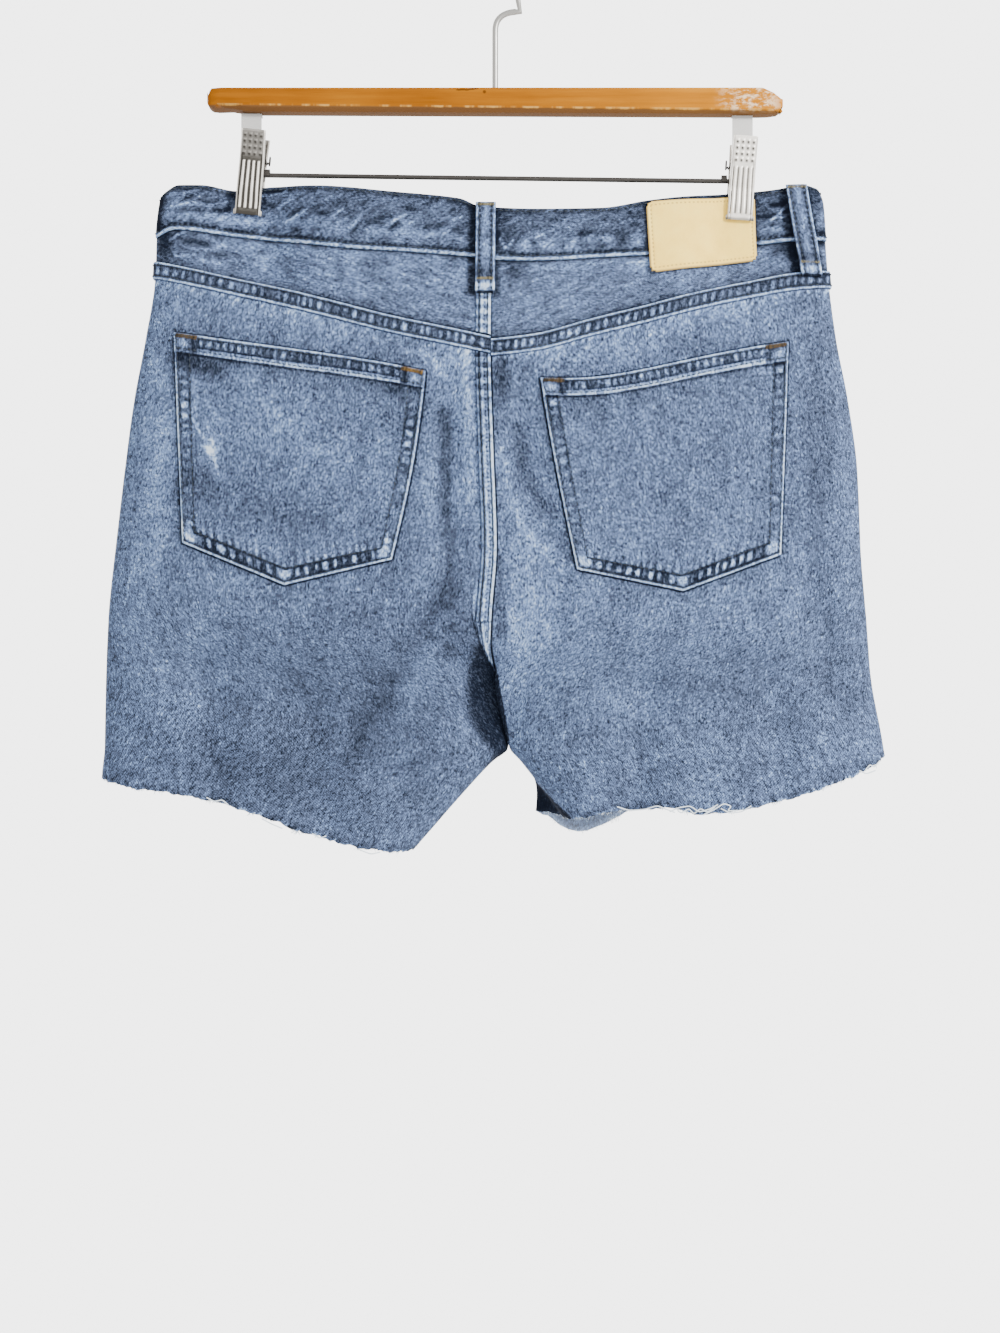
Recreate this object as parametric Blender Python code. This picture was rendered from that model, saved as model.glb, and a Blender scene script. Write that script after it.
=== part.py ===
"""Denim cut-off shorts hanging by their waistband from a wooden hanger with two spring clips.

Blender 4.5, metres, +Z up. The origin is where the hanger's hook rests on a rail. The back of the
shorts faces -Y. Sizes below are in millimetres. A "drop" is a distance below the waist line, and an
"angle" runs round one half of the body: 0 at the centre back, 90 at the side fold, 180 at the centre front.
"""

import math

import bmesh
import bpy
from mathutils import Matrix, Vector

MM = 0.001


def table(columns, *rows):
    """Rows of values, each under the names of its columns."""
    names = columns.split()
    return [dict(zip(names, row)) for row in rows]


# ---- Driving dimensions, in millimetres ----

WAIST_LEVEL = -150.8
SEAM_GAP = 0.3
PANEL_WALL = 1.2
LAYER_GAP = 0.45
FACING_GAP = 1.2
FELL_WALL = 1.1
BAND_INSIDE = 0.8
BAND_OUTSIDE = 1.4
PATCH_WALL = 1.5
PATCH_EASE = 0.15
LOOP_WALL = 2.0
LOOP_WIDTH = 12.4
LOOP_BOW = 1.6
SIDE_SEAM_ANGLE = 100.0
LEG_BACK_TURN = 190.0
LEG_FRONT_TURN = 360.0 - LEG_BACK_TURN
INSEAM_ROUNDNESS = 0.62
BACK_FIRST_ANGLE = 5.0
FRONT_BLEND_ANGLE, FRONT_BLEND_SPAN = 60.0, 100.0
FOLD_FADE_DEPTH = 12.0
YOKE_FELL_WIDTH = 11.0
SEAT_FELL_WIDTH = 9.0
SEAT_FELL_END = 270.0
CROTCH_DROP = 348.0
FRONT_LEG_START = 285.0
OVERHANG_ANGLE = 9.0
FRONT_BULGE_ANGLE, FRONT_BULGE_DROP, FRONT_BULGE_GROWTH = 152.0, 358.0, 0.85

HALF_WALL = PANEL_WALL / 2
ON_PANEL = HALF_WALL + LAYER_GAP
ON_FELL = ON_PANEL + FELL_WALL + LAYER_GAP
ON_BAND = BAND_OUTSIDE + LAYER_GAP
UNDER_PANEL = HALF_WALL + FACING_GAP

# Both edges of the body and how far it stands forward and back of the middle plane.
BODY = table(
    "drop left right back front roundness",
    (0, -203.0, 197.5, 10.0, 10.0, 0.45),
    (12, -206.5, 202.0, 11.0, 11.0, 0.45),
    (30, -208.5, 203.5, 13.0, 12.5, 0.48),
    (60, -210.0, 206.0, 17.0, 15.0, 0.55),
    (95, -215.5, 210.5, 21.0, 18.0, 0.62),
    (135, -223.0, 218.0, 25.0, 21.0, 0.66),
    (180, -229.0, 224.0, 27.0, 23.0, 0.70),
    (230, -235.0, 226.0, 28.0, 25.0, 0.70),
    (270, -239.0, 229.5, 28.0, 26.0, 0.70),
    (305, -240.5, 232.5, 27.0, 26.0, 0.70),
    (347, -241.0, 239.5, 26.0, 25.0, 0.70),
    (365, -242.5, 242.5, 25.0, 24.0, 0.70),
    (420, -245.0, 244.0, 23.0, 22.0, 0.70),
)

# The line where the two halves meet, as far as the crotch, and the inner edge of each leg below it.
# "parting" is half the space that the facing walls need. "overhang" lets the right leg lap over the seam.
INNER = table(
    "drop left right front parting leg overhang",
    (0, -1.0, -1.0, -2.0, 0.15, 0.00, 0.0),
    (105, -2.5, -2.5, -1.0, 0.15, 0.00, 0.0),
    (166, -0.8, -0.8, 0.0, 0.15, 0.00, 0.0),
    (225, 1.2, 1.2, 2.0, 0.15, 0.00, 0.0),
    (263, -1.5, -1.5, 4.0, 0.30, 0.06, 0.0),
    (282, -2.5, -2.5, 5.0, 0.60, 0.24, 3.0),
    (306, 1.6, 1.6, 7.0, 0.90, 0.66, 8.0),
    (327, 5.4, 5.4, 7.6, 0.95, 0.90, 5.0),
    (341, 7.8, 7.8, 8.4, 0.95, 0.99, 2.6),
    (348, 8.6, 8.8, 8.8, 0.95, 1.00, 1.0),
    (356, -0.8, 15.4, 10.3, 0.95, 1.00, 0.0),
    (375, -18.5, 30.0, 10.3, 0.95, 1.00, 0.0),
    (420, -58.0, 63.0, 10.3, 0.95, 1.00, 0.0),
)

# Edges and seam lines across the back, each a drop at a distance from the middle.
WAIST_EDGE_BACK = (
    (-208, 11.0), (-203, 5.0), (-195, 0.6), (-181, 0.5), (-160, 3.4), (-137, 1.1), (-112, 1.5),
    (-60, 5.8), (-22, 10.0), (-8, 15.2), (28, 16.4), (65, 15.8), (95, 11.0), (143, 5.3),
    (176, 2.6), (189, 0.4), (197, 2.2), (203, 9.0),
)
WAIST_EDGE_FRONT = (
    (-208, 11.0), (-195, 4.5), (-152, 3.4), (-120, 6.5), (-60, 17.0), (0, 24.0), (60, 19.0),
    (120, 8.5), (152, 5.0), (190, 5.0), (203, 9.0),
)
BAND_SEAM_BACK = (
    (-209, 33.5), (-197, 29.0), (-179, 30.4), (-139, 35.0), (-90, 41.6), (-54, 44.0), (-15, 47.2),
    (0, 49.2), (19, 49.6), (76, 46.9), (95, 45.7), (162, 37.6), (187, 35.8), (204, 35.4),
)
BAND_SEAM_FRONT = (
    (-209, 34.0), (-180, 35.0), (-152, 38.0), (-60, 51.0), (0, 57.0), (60, 53.0), (152, 39.5),
    (185, 36.5), (204, 35.4),
)
YOKE_SEAM_LEFT = ((-210, 47.5), (-161, 59.0), (-105, 72.4), (-63, 83.4), (-35, 89.4), (0, 97.0))
YOKE_SEAM_RIGHT = (
    (0, 97.8), (25, 94.6), (57, 85.9), (88, 78.0), (119, 69.6), (151, 62.2), (182, 56.1), (206, 53.4),
)
HEM_BACK_LEFT = (
    (-243, 366.5), (-224, 372.0), (-202, 374.6), (-180, 378.2), (-158, 384.0), (-136, 390.8),
    (-121, 397.6), (-99, 404.4), (-77, 409.8), (-60, 411.2), (-49, 410.0), (0, 408.0),
)
HEM_BACK_RIGHT = (
    (0, 392.0), (42, 391.2), (63, 388.8), (76, 385.6), (110, 384.4), (123, 387.8), (150, 385.0),
    (179, 378.8), (208, 369.2), (230, 360.0), (238, 354.5), (243, 351.0),
)
# Hems of the hidden half of each leg, by the angle round the body.
HEM_FRONT_LEFT = ((100, 366.0), (120, 374.0), (145, 388.0), (165, 402.0), (180, 408.0))
HEM_FRONT_RIGHT = (
    (100, 351.5), (120, 360.0), (136, 371.0), (146, 379.0), (152, 386.0), (156, 393.5), (160, 401.5),
    (164, 392.0), (168, 388.5), (174, 388.5), (180, 391.0),
)

# The deepest soft troughs: ends, half width and how far each draws the cloth in.
FOLD_COLUMNS = "x0 drop0 x1 drop1 half_width depth"
BACK_FOLDS = table(
    FOLD_COLUMNS,
    (-27, 125, -25, 225, 9, 2.2),
    (18, 150, 32, 235, 9, 1.6),
    (-38, 275, -74, 335, 12, 2.6),
    (192, 240, 212, 320, 12, 2.2),
    (-178, 300, -168, 372, 15, 3.2),
    (-112, 330, -104, 402, 14, 3.6),
    (92, 310, 84, 388, 13, 3.4),
    (168, 310, 176, 376, 14, 3.0),
    (-195, 50, -120, 62, 7, 1.4),
)
# The hollow in the left leg beside the seat seam, where the right leg laps over it.
LEFT_HOLLOW = table(
    FOLD_COLUMNS,
    (-14, 298, -6, 332, 11, 8.0),
)
FRONT_FOLDS = table(
    FOLD_COLUMNS,
    (-30, 215, -95, 265, 12, 2.4),
    (40, 225, 105, 262, 11, 2.2),
    (-165, 285, -150, 368, 15, 3.2),
    (-85, 315, -92, 398, 14, 3.0),
    (118, 300, 124, 372, 14, 3.2),
    (190, 260, 200, 345, 13, 2.6),
    (-60, 70, -20, 98, 9, 1.6),
    (25, 96, 70, 72, 9, 1.6),
)

# Patch pockets: the distance across and the drop of each corner and of the point at the foot.
POCKET = {
    -1: {
        "top_outer": (-197.0, 92.6), "top_inner": (-41.6, 118.0),
        "foot_outer": (-191.0, 222.6), "point": (-128.0, 248.8), "foot_inner": (-62.2, 233.2),
    },
    1: {
        "top_outer": (180.0, 98.6), "top_inner": (27.0, 122.0),
        "foot_outer": (174.5, 230.0), "point": (114.5, 252.4), "foot_inner": (49.5, 239.2),
    },
}
# How far the top edge dips below a straight line, and the inner edge swells past one.
POCKET_DIP = {-1: -1.2, 1: 5.0}
POCKET_SWELL = {-1: 2.6, 1: 0.8}

# Belt loops: distance across at the head, how far the foot leans from it, and the drops of both ends.
LOOPS = table(
    "name face x lean head foot",
    ("belt_loop_back", "back", -5.6, -0.5, 13.0, 68.7),
    ("belt_loop_back_right", "back", 185.8, 8.4, 0.8, 58.6),
    ("belt_loop_front_left", "front", -78.0, -2.0, 13.0, 68.0),
    ("belt_loop_front_right", "front", 78.0, 2.0, 14.5, 69.5),
    ("belt_loop_side_left", "front", -188.0, -4.0, 4.2, 58.0),
)
LOOP_STEP_SHARE, LOOP_STEP_SPAN = 0.4, 0.3

# The patch's corners, as for the pockets, and how much of its height and width its cut corners take.
PATCH = {
    "top_inner": (93.8, 12.4), "top_outer": (160.6, 6.2),
    "foot_inner": (97.2, 55.2), "foot_outer": (161.8, 47.6),
}
PATCH_CUT_ACROSS, PATCH_CUT_DOWN = 0.03, 0.035

POCKET_OPENING_START = 148.0
POCKET_OPENING_DROP = 92.0
POCKET_OPENING_POWER = 0.85
FACING_START = POCKET_OPENING_START + 4.0
FACING_REACH = 20.0
FLY_WIDTH, FLY_INNER, FLY_LENGTH = 38.0, 4.0, 118.0
FLY_ROUNDING = 0.3
CENTRE_FELL_START = 3.0
BUTTON_X = -12.0
BUTTON_RADIUS = 8.5
BUTTON_HEIGHT = 3.4
# The button's profile, in shares of its radius and height, from its foot to its middle.
BUTTON_PROFILE = ((0.45, 0.0), (0.45, 0.25), (0.95, 0.35), (1.0, 0.6), (0.9, 0.85), (0.5, 0.95))

# Hanger. Heights are drops, so those above the waist line are negative.
BAR_TOP, BAR_FOOT = -59.0, -45.0
BAR_LEFT, BAR_RIGHT = -178.0, 178.0
BAR_DEPTH = 15.0
BAR_CHAMFER = 3.2
# The bar's ends: along it, then how much less deep, lower at the top and higher at the foot it is there.
BAR_ENDS = table(
    "x thinner top_cut foot_cut chamfer",
    (BAR_LEFT, 7.0, 5.0, 5.5, 2.2),
    (BAR_LEFT + 2.5, 2.5, 1.2, 2.5, 3.4),
    (BAR_LEFT + 9.0, 0.0, 0.0, 0.0, BAR_CHAMFER),
    (BAR_RIGHT - 13.0, 0.0, 0.0, 0.0, BAR_CHAMFER),
    (BAR_RIGHT - 6.0, 1.5, 2.6, 0.6, 4.0),
    (BAR_RIGHT, 6.0, 7.5, 2.2, 2.0),
)
# The hook's wire radius, the radius of its bend, and the neck that carries the bend over the stem.
HOOK_WIRE = 1.9
HOOK_BEND = 21.0
HOOK_STEM_IN_BAR = 12.0
HOOK_FIRST_ANGLE, HOOK_LAST_ANGLE, HOOK_STEPS = -48.0, 188.0, 18
NECK_FOOT, NECK_TOP, NECK_REACH = 36.0, 22.0, 19.0
ROD_RADIUS = 1.35
ROD_LEFT_DROP, ROD_RIGHT_DROP = -6.8, -2.7
ROD_REACH = 158.5
STRAP_WIDTH, STRAP_WALL, STRAP_FOOT = 12.6, 1.2, 6.5
STRAP_PLACES = ((-1, -151.0), (1, 153.4))
CLIP_WIDTH, CLIP_WALL = 17.0, 1.0
CLIPS = table(
    "name x drop lean back_lift front_lift",
    ("left", -151.0, -3.9, 4.3, 0.0, 0.0),
    ("right", 152.4, 0.2, 3.9, 3.4, 0.2),
)
PINCH_HALF_DEPTH = 1.45
PINCH_HALF_WIDTH = 21.0
PINCH_FULL_DROP, PINCH_END_DROP = 24.0, 88.0

# The sheet-metal jaw: height above the rod, distance from the middle plane and depth of its side flanges.
JAW = table(
    "height reach flange width",
    (28.2, 13.5, 1.6, 14.6), (20.0, 11.2, 2.6, 15.0), (8.0, 8.4, 4.0, 15.8), (0.0, 7.6, 4.0, 16.2),
    (-7.0, 6.8, 2.9, 16.6), (-15.0, 5.0, 1.3, 17.0), (-22.5, 4.3, 1.02, 17.2),
)
# The jaws open over the cloth by each clip's lifts, from this height down over this length.
JAW_LIFT_START, JAW_LIFT_LENGTH = -2.0, 14.0
# The sprung pin between the jaws: distance from the clip's middle towards the hanger's middle, and radius.
SPRING = table("towards_middle radius", (-9.0, 1.5), (8.4, 1.5), (8.6, 3.4), (10.8, 3.4), (11.0, 1.8))
SPRING_HEIGHT, SPRING_OFFSET = 12.5, 2.5

# ---- Curves through the tables ----


def table_curve(positions, values):
    """A smooth curve through the values that never swings past them."""
    count = len(positions)
    slopes = [(values[i + 1] - values[i]) / (positions[i + 1] - positions[i]) for i in range(count - 1)]
    tangents = [slopes[0]]
    for before, after in zip(slopes, slopes[1:]):
        tangents.append(0.0 if before * after <= 0 else 2 * before * after / (before + after))
    tangents.append(slopes[-1])

    def value_at(position):
        position = min(max(position, positions[0]), positions[-1])
        low = 0
        while low < count - 2 and position > positions[low + 1]:
            low += 1
        span = positions[low + 1] - positions[low]
        t = (position - positions[low]) / span
        rise = values[low] * (2 * t**3 - 3 * t**2 + 1) + values[low + 1] * (3 * t**2 - 2 * t**3)
        return rise + span * (tangents[low] * (t**3 - 2 * t**2 + t) + tangents[low + 1] * (t**3 - t**2))

    return value_at


def column_curves(rows):
    """A curve by the drop for every other column."""
    positions = [row["drop"] for row in rows]
    return {name: table_curve(positions, [row[name] for row in rows]) for name in rows[0] if name != "drop"}


def edge_curve(rows):
    return table_curve([row[0] for row in rows], [row[1] for row in rows])


body = column_curves(BODY)
inner = column_curves(INNER)
waist_edge = {"back": edge_curve(WAIST_EDGE_BACK), "front": edge_curve(WAIST_EDGE_FRONT)}
band_seam = {"back": edge_curve(BAND_SEAM_BACK), "front": edge_curve(BAND_SEAM_FRONT)}
yoke_seam = {-1: edge_curve(YOKE_SEAM_LEFT), 1: edge_curve(YOKE_SEAM_RIGHT)}
hem_back = {-1: edge_curve(HEM_BACK_LEFT), 1: edge_curve(HEM_BACK_RIGHT)}
hem_front = {-1: edge_curve(HEM_FRONT_LEFT), 1: edge_curve(HEM_FRONT_RIGHT)}

SIDE_NAME = {-1: "left", 1: "right"}


def mix(a, b, share):
    return a + (b - a) * share


def smooth_step(t):
    t = min(max(t, 0.0), 1.0)
    return t * t * (3 - 2 * t)


def signed_power(value, power):
    return math.copysign(abs(value) ** power, value)


# ---- The form of the cloth ----


def fold_shift(folds, x, drop):
    """How far the soft troughs draw the cloth towards the middle plane here."""
    total = 0.0
    for fold in folds:
        along = Vector((fold["x1"] - fold["x0"], fold["drop1"] - fold["drop0"]))
        place = Vector((x - fold["x0"], drop - fold["drop0"]))
        share = place.dot(along) / along.length_squared
        off = (place - along * min(max(share, 0.0), 1.0)).length
        total += fold["depth"] * math.exp(-((off / fold["half_width"]) ** 2))
    return total


def pinch_share(x, drop):
    """1 between the jaws of a clip, falling to 0 away from it."""
    nearest = min(abs(x - clip["x"]) for clip in CLIPS)
    fade = 1 - smooth_step((drop - PINCH_FULL_DROP) / (PINCH_END_DROP - PINCH_FULL_DROP))
    return fade * math.exp(-((max(nearest - CLIP_WIDTH / 2, 0.0) / PINCH_HALF_WIDTH) ** 2))


def cloth_point(side, angle, drop):
    """The middle of the cloth wall, on the half of the body to the left (-1) or the right (1)."""
    name = SIDE_NAME[side]
    front_share = smooth_step((angle - FRONT_BLEND_ANGLE) / FRONT_BLEND_SPAN)
    seam = inner[name](drop)
    if drop < CROTCH_DROP:
        seam = mix(seam, inner["front"](drop), front_share)
    centre = seam + side * inner["parting"](drop)
    edge = body[name](drop)
    leg = inner["leg"](drop)
    front_leg = smooth_step((drop - FRONT_LEG_START) / (CROTCH_DROP - FRONT_LEG_START))
    leg = mix(leg, front_leg, front_share)
    if angle <= SIDE_SEAM_ANGLE:
        turn = angle * LEG_BACK_TURN / SIDE_SEAM_ANGLE
    else:
        turn = 360.0 - (180.0 - angle) * LEG_FRONT_TURN / (180.0 - SIDE_SEAM_ANGLE)
    turn = math.radians(turn)
    across_body = math.sin(math.radians(angle))
    across_leg = (1 - math.cos(turn)) / 2
    roundness = body["roundness"](drop)
    near_inseam = abs(math.cos(turn / 2)) ** 3
    out_body = signed_power(math.cos(math.radians(angle)), roundness)
    out_leg = signed_power(math.sin(turn), mix(roundness, INSEAM_ROUNDNESS, near_inseam))
    x = centre + (edge - centre) * mix(across_body, across_leg, leg)
    if side > 0:
        x -= inner["overhang"](drop) * math.sin(math.pi * min(max(angle / OVERHANG_ANGLE, 0.0), 1.0)) ** 2
        front_turn = min(max((angle - FRONT_BULGE_ANGLE) / (180.0 - FRONT_BULGE_ANGLE), 0.0), 1.0)
        bulge = FRONT_BULGE_GROWTH * max(drop - FRONT_BULGE_DROP, 0.0)
        x -= bulge * math.sin(math.pi * front_turn) ** 2
    out = mix(out_body, out_leg, leg)
    depth = body["back"](drop) if out > 0 else body["front"](drop)
    y = -depth * out
    pinched = pinch_share(x, drop) * smooth_step(abs(y) / (2 * PINCH_HALF_DEPTH))
    y = mix(y, math.copysign(PINCH_HALF_DEPTH, y), pinched)
    folds = BACK_FOLDS if y < 0 else FRONT_FOLDS
    if side < 0 and y < 0:
        folds = folds + LEFT_HOLLOW
    fold = fold_shift(folds, x, drop) * smooth_step(abs(y) / FOLD_FADE_DEPTH)
    y -= math.copysign(fold, y)
    return Vector((x, y, WAIST_LEVEL - drop))


def cloth_normal(side, angle, drop):
    """The direction straight out of the cloth."""
    step_angle, step_drop = 0.6, 0.8
    round_body = cloth_point(side, angle + step_angle, drop) - cloth_point(side, angle - step_angle, drop)
    down = cloth_point(side, angle, drop + step_drop) - cloth_point(side, angle, drop - step_drop)
    return (down.cross(round_body) * side).normalized()


def drop_on_edge(side, angle, edge):
    """Where the line given by an edge curve crosses this angle of the body."""
    drop = edge(cloth_point(side, angle, 100.0).x)
    for _ in range(12):
        drop = mix(drop, edge(cloth_point(side, angle, drop).x), 0.8)
    return drop


def angle_at(side, face, x, drop):
    """The angle of the body that lies at this distance across, on its back or its front."""
    low, high = (0.0, 90.0) if face == "back" else (180.0, 90.0)
    for _ in range(32):
        middle = (low + high) / 2
        if side * (cloth_point(side, middle, drop).x - x) < 0:
            low = middle
        else:
            high = middle
    return (low + high) / 2


def gap_angle(side, angle, drop):
    """The angle that half a seam gap takes up here."""
    step = 0.5
    length = (cloth_point(side, angle + step, drop) - cloth_point(side, angle - step, drop)).length
    return SEAM_GAP * step / length


# ---- Meshes ----


def clear_scene():
    for obj in list(bpy.data.objects):
        bpy.data.objects.remove(obj, do_unlink=True)


def make_material(name, colour, roughness, metallic=0.0):
    material = bpy.data.materials.new(name)
    material.use_nodes = True
    shader = material.node_tree.nodes["Principled BSDF"]
    shader.inputs["Base Color"].default_value = (*colour, 1.0)
    shader.inputs["Roughness"].default_value = roughness
    shader.inputs["Metallic"].default_value = metallic
    return material


def add_object(name, mesh, material, smooth=True):
    if smooth:
        mesh.shade_smooth()
        mesh.set_sharp_from_angle(angle=math.radians(40))
    mesh.materials.append(material)
    obj = bpy.data.objects.new(name, mesh)
    bpy.context.scene.collection.objects.link(obj)
    return obj


def mesh_from(name, points, faces):
    mesh = bpy.data.meshes.new(name)
    mesh.from_pydata([Vector(point) * MM for point in points], [], faces)
    mesh.validate()
    shape = bmesh.new()
    shape.from_mesh(mesh)
    bmesh.ops.recalc_face_normals(shape, faces=shape.faces)
    shape.to_mesh(mesh)
    shape.free()
    return mesh


def wall_between(name, inside, outside, material):
    """A closed wall between two grids of points, both indexed [across][down]."""
    columns, rows = len(inside), len(inside[0])
    points = [point for grid in (inside, outside) for column in grid for point in column]

    def at(layer, i, j):
        return layer * columns * rows + i * rows + j

    faces = []
    for layer in (0, 1):
        for i in range(columns - 1):
            for j in range(rows - 1):
                corners = ((i, j), (i + 1, j), (i + 1, j + 1), (i, j + 1))
                faces.append(tuple(at(layer, *corner) for corner in corners))
    for i in range(columns - 1):
        for j in (0, rows - 1):
            faces.append((at(0, i, j), at(0, i + 1, j), at(1, i + 1, j), at(1, i, j)))
    for j in range(rows - 1):
        for i in (0, columns - 1):
            faces.append((at(0, i, j), at(0, i, j + 1), at(1, i, j + 1), at(1, i, j)))
    return add_object(name, mesh_from(name, points, faces), material)


def cloth_piece(name, side, places, offsets, material):
    """A wall on the body's form. Places are (angle, drop), indexed [across][down]."""
    low, high = offsets
    inside, outside = [], []
    for column in places:
        points = [cloth_point(side, angle, drop) for angle, drop in column]
        normals = [cloth_normal(side, angle, drop) for angle, drop in column]
        inside.append([point + normal * low for point, normal in zip(points, normals)])
        outside.append([point + normal * high for point, normal in zip(points, normals)])
    return wall_between(name, inside, outside, material)


def spread(first, last, cells):
    return [mix(first, last, k / cells) for k in range(cells + 1)]


def grid_between(side, angles, top, foot, shares, top_gap=SEAM_GAP / 2, foot_gap=SEAM_GAP / 2):
    """Places between two lines on the body. Each line is a function of the angle that gives a drop."""
    places = []
    for k, angle in enumerate(angles):
        column = []
        for share in shares:
            drop = mix(top(angle) + top_gap, foot(angle) - foot_gap, share)
            shift = 0.0
            if k == 0:
                shift = gap_angle(side, angle, drop)
            if k == len(angles) - 1:
                shift = -gap_angle(side, angle, drop)
            if angles[-1] < angles[0]:
                shift = -shift
            column.append((angle + shift, drop))
        places.append(column)
    return places


def rows_through_crotch(top, foot, above, below):
    """Shares of the way down at the inner edge, with one row at the crotch itself."""
    crotch = (CROTCH_DROP - top) / (foot - top)
    return spread(0.0, crotch, above) + spread(crotch, 1.0, below)[1:]


def on_edge(side, edge, extra=0.0):
    return lambda angle: drop_on_edge(side, angle, edge) + extra


def on_both_faces(side, edges):
    """A line all round the body: the back's up to the side seam, passing into the front's beyond it."""

    def drop_at(angle):
        back = drop_on_edge(side, angle, edges["back"])
        if angle <= SIDE_SEAM_ANGLE:
            return back
        front = drop_on_edge(side, angle, edges["front"])
        return mix(back, front, smooth_step((angle - SIDE_SEAM_ANGLE) / 20.0))

    return drop_at


# ---- Sewn pieces ----


def back_angles():
    """Columns round the back, closer together beside the seat seam."""
    return [0.0, BACK_FIRST_ANGLE / 2] + spread(BACK_FIRST_ANGLE, SIDE_SEAM_ANGLE, 20)


def build_back_panel(side, material):
    top, hem = on_edge(side, yoke_seam[side]), on_edge(side, hem_back[side])
    shares = rows_through_crotch(top(0.0), hem(0.0), 13, 3)
    places = grid_between(side, back_angles(), top, hem, shares, foot_gap=0.0)
    cloth_piece("back_" + SIDE_NAME[side], side, places, (-HALF_WALL, HALF_WALL), material)


def build_yoke(side, material):
    top, foot = on_edge(side, band_seam["back"]), on_edge(side, yoke_seam[side])
    places = grid_between(side, back_angles(), top, foot, (0.0, 0.5, 1.0))
    cloth_piece("yoke_" + SIDE_NAME[side], side, places, (-HALF_WALL, HALF_WALL), material)


def opening_line(side):
    """The curved mouth of the front pocket, from the waistband to the side seam."""

    band_foot = on_both_faces(side, band_seam)

    def drop_at(angle):
        band = band_foot(angle)
        share = (POCKET_OPENING_START - angle) / (POCKET_OPENING_START - SIDE_SEAM_ANGLE)
        curve = math.sin(math.pi / 2 * min(max(share, 0.0), 1.0)) ** POCKET_OPENING_POWER
        return band + POCKET_OPENING_DROP * curve

    return drop_at


def build_front_panel(side, material):
    angles = spread(180.0, SIDE_SEAM_ANGLE, 20)
    top = opening_line(side)
    shares = rows_through_crotch(top(180.0), hem_front[side](180.0), 12, 3)
    places = grid_between(side, angles, top, hem_front[side], shares, foot_gap=0.0)
    cloth_piece("front_" + SIDE_NAME[side], side, places, (-HALF_WALL, HALF_WALL), material)


def build_pocket_facing(side, material):
    angles = spread(FACING_START, SIDE_SEAM_ANGLE, 13)
    mouth = opening_line(side)
    top = on_both_faces(side, band_seam)
    places = grid_between(side, angles, top, lambda angle: mouth(angle) + FACING_REACH, spread(0.0, 1.0, 6))
    offsets = (-UNDER_PANEL - PANEL_WALL, -UNDER_PANEL)
    cloth_piece("pocket_facing_" + SIDE_NAME[side], side, places, offsets, material)


def build_fly(material):
    """The facing of the fly, behind the wearer's left front."""
    side = -1
    places = []
    for x in spread(-FLY_WIDTH, -FLY_INNER, 5):
        column = []
        rounding = FLY_LENGTH * FLY_ROUNDING * (1 - math.sqrt(1 - (x / (FLY_WIDTH + 1.0)) ** 2))
        top = band_seam["front"](x) + SEAM_GAP
        for drop in spread(top, top + FLY_LENGTH - rounding, 9):
            column.append((angle_at(side, "front", x, drop), drop))
        places.append(column)
    cloth_piece("fly_facing", side, places, (-UNDER_PANEL - PANEL_WALL, -UNDER_PANEL), material)


def build_waistband(material):
    """One strap round the waist, closed by the button at the centre front."""
    inside, outside = [], []
    cells = 42
    half = [180.0 * k / cells for k in range(cells + 1)]
    stations = [(-1, angle) for angle in reversed(half)] + [(1, angle) for angle in half[1:]]
    for k, (side, angle) in enumerate(stations):
        top = on_both_faces(side, waist_edge)(angle)
        foot = on_both_faces(side, band_seam)(angle)
        if k in (0, len(stations) - 1):
            angle -= gap_angle(side, angle, top)
        points, normals = [], []
        for drop in spread(top, foot - SEAM_GAP / 2, 3):
            points.append(cloth_point(side, angle, drop))
            normals.append(cloth_normal(side, angle, drop))
        if angle == 0.0:
            for point in points:
                point.x = inner["left"](0.0)
        inside.append([point - normal * BAND_INSIDE for point, normal in zip(points, normals)])
        outside.append([point + normal * BAND_OUTSIDE for point, normal in zip(points, normals)])
    wall_between("waistband", inside, outside, material)


def build_yoke_fell(side, material):
    seam = on_edge(side, yoke_seam[side])
    foot = on_edge(side, yoke_seam[side], YOKE_FELL_WIDTH)
    places = grid_between(side, back_angles(), seam, foot, (0.0, 1.0), 0.0, 0.0)
    cloth_piece("yoke_fell_" + SIDE_NAME[side], side, places, (ON_PANEL, ON_PANEL + FELL_WALL), material)


def build_seat_fell(material):
    """The lapped seam down the seat, which lies on the left back panel, and its stretch on the yoke."""
    side = -1
    seam = yoke_seam[side]
    stretches = (
        ("seat_fell", lambda x: seam(x) + YOKE_FELL_WIDTH + SEAM_GAP, lambda x: SEAT_FELL_END, 14),
        (
            "yoke_centre_fell",
            lambda x: band_seam["back"](x) + CENTRE_FELL_START,
            lambda x: seam(x) - 4 * SEAM_GAP,
            3,
        ),
    )
    for name, first, last, cells in stretches:
        places = []
        for share in (1.0, 0.0):
            column = []
            edge = -SEAT_FELL_WIDTH * share
            for drop in spread(first(edge - 1.0), last(edge - 1.0), cells):
                x = inner["left"](drop) - inner["parting"](drop) - 0.05 + edge
                column.append((angle_at(side, "back", x, drop), drop))
            places.append(column)
        cloth_piece(name, side, places, (ON_PANEL, ON_PANEL + FELL_WALL), material)


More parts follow.
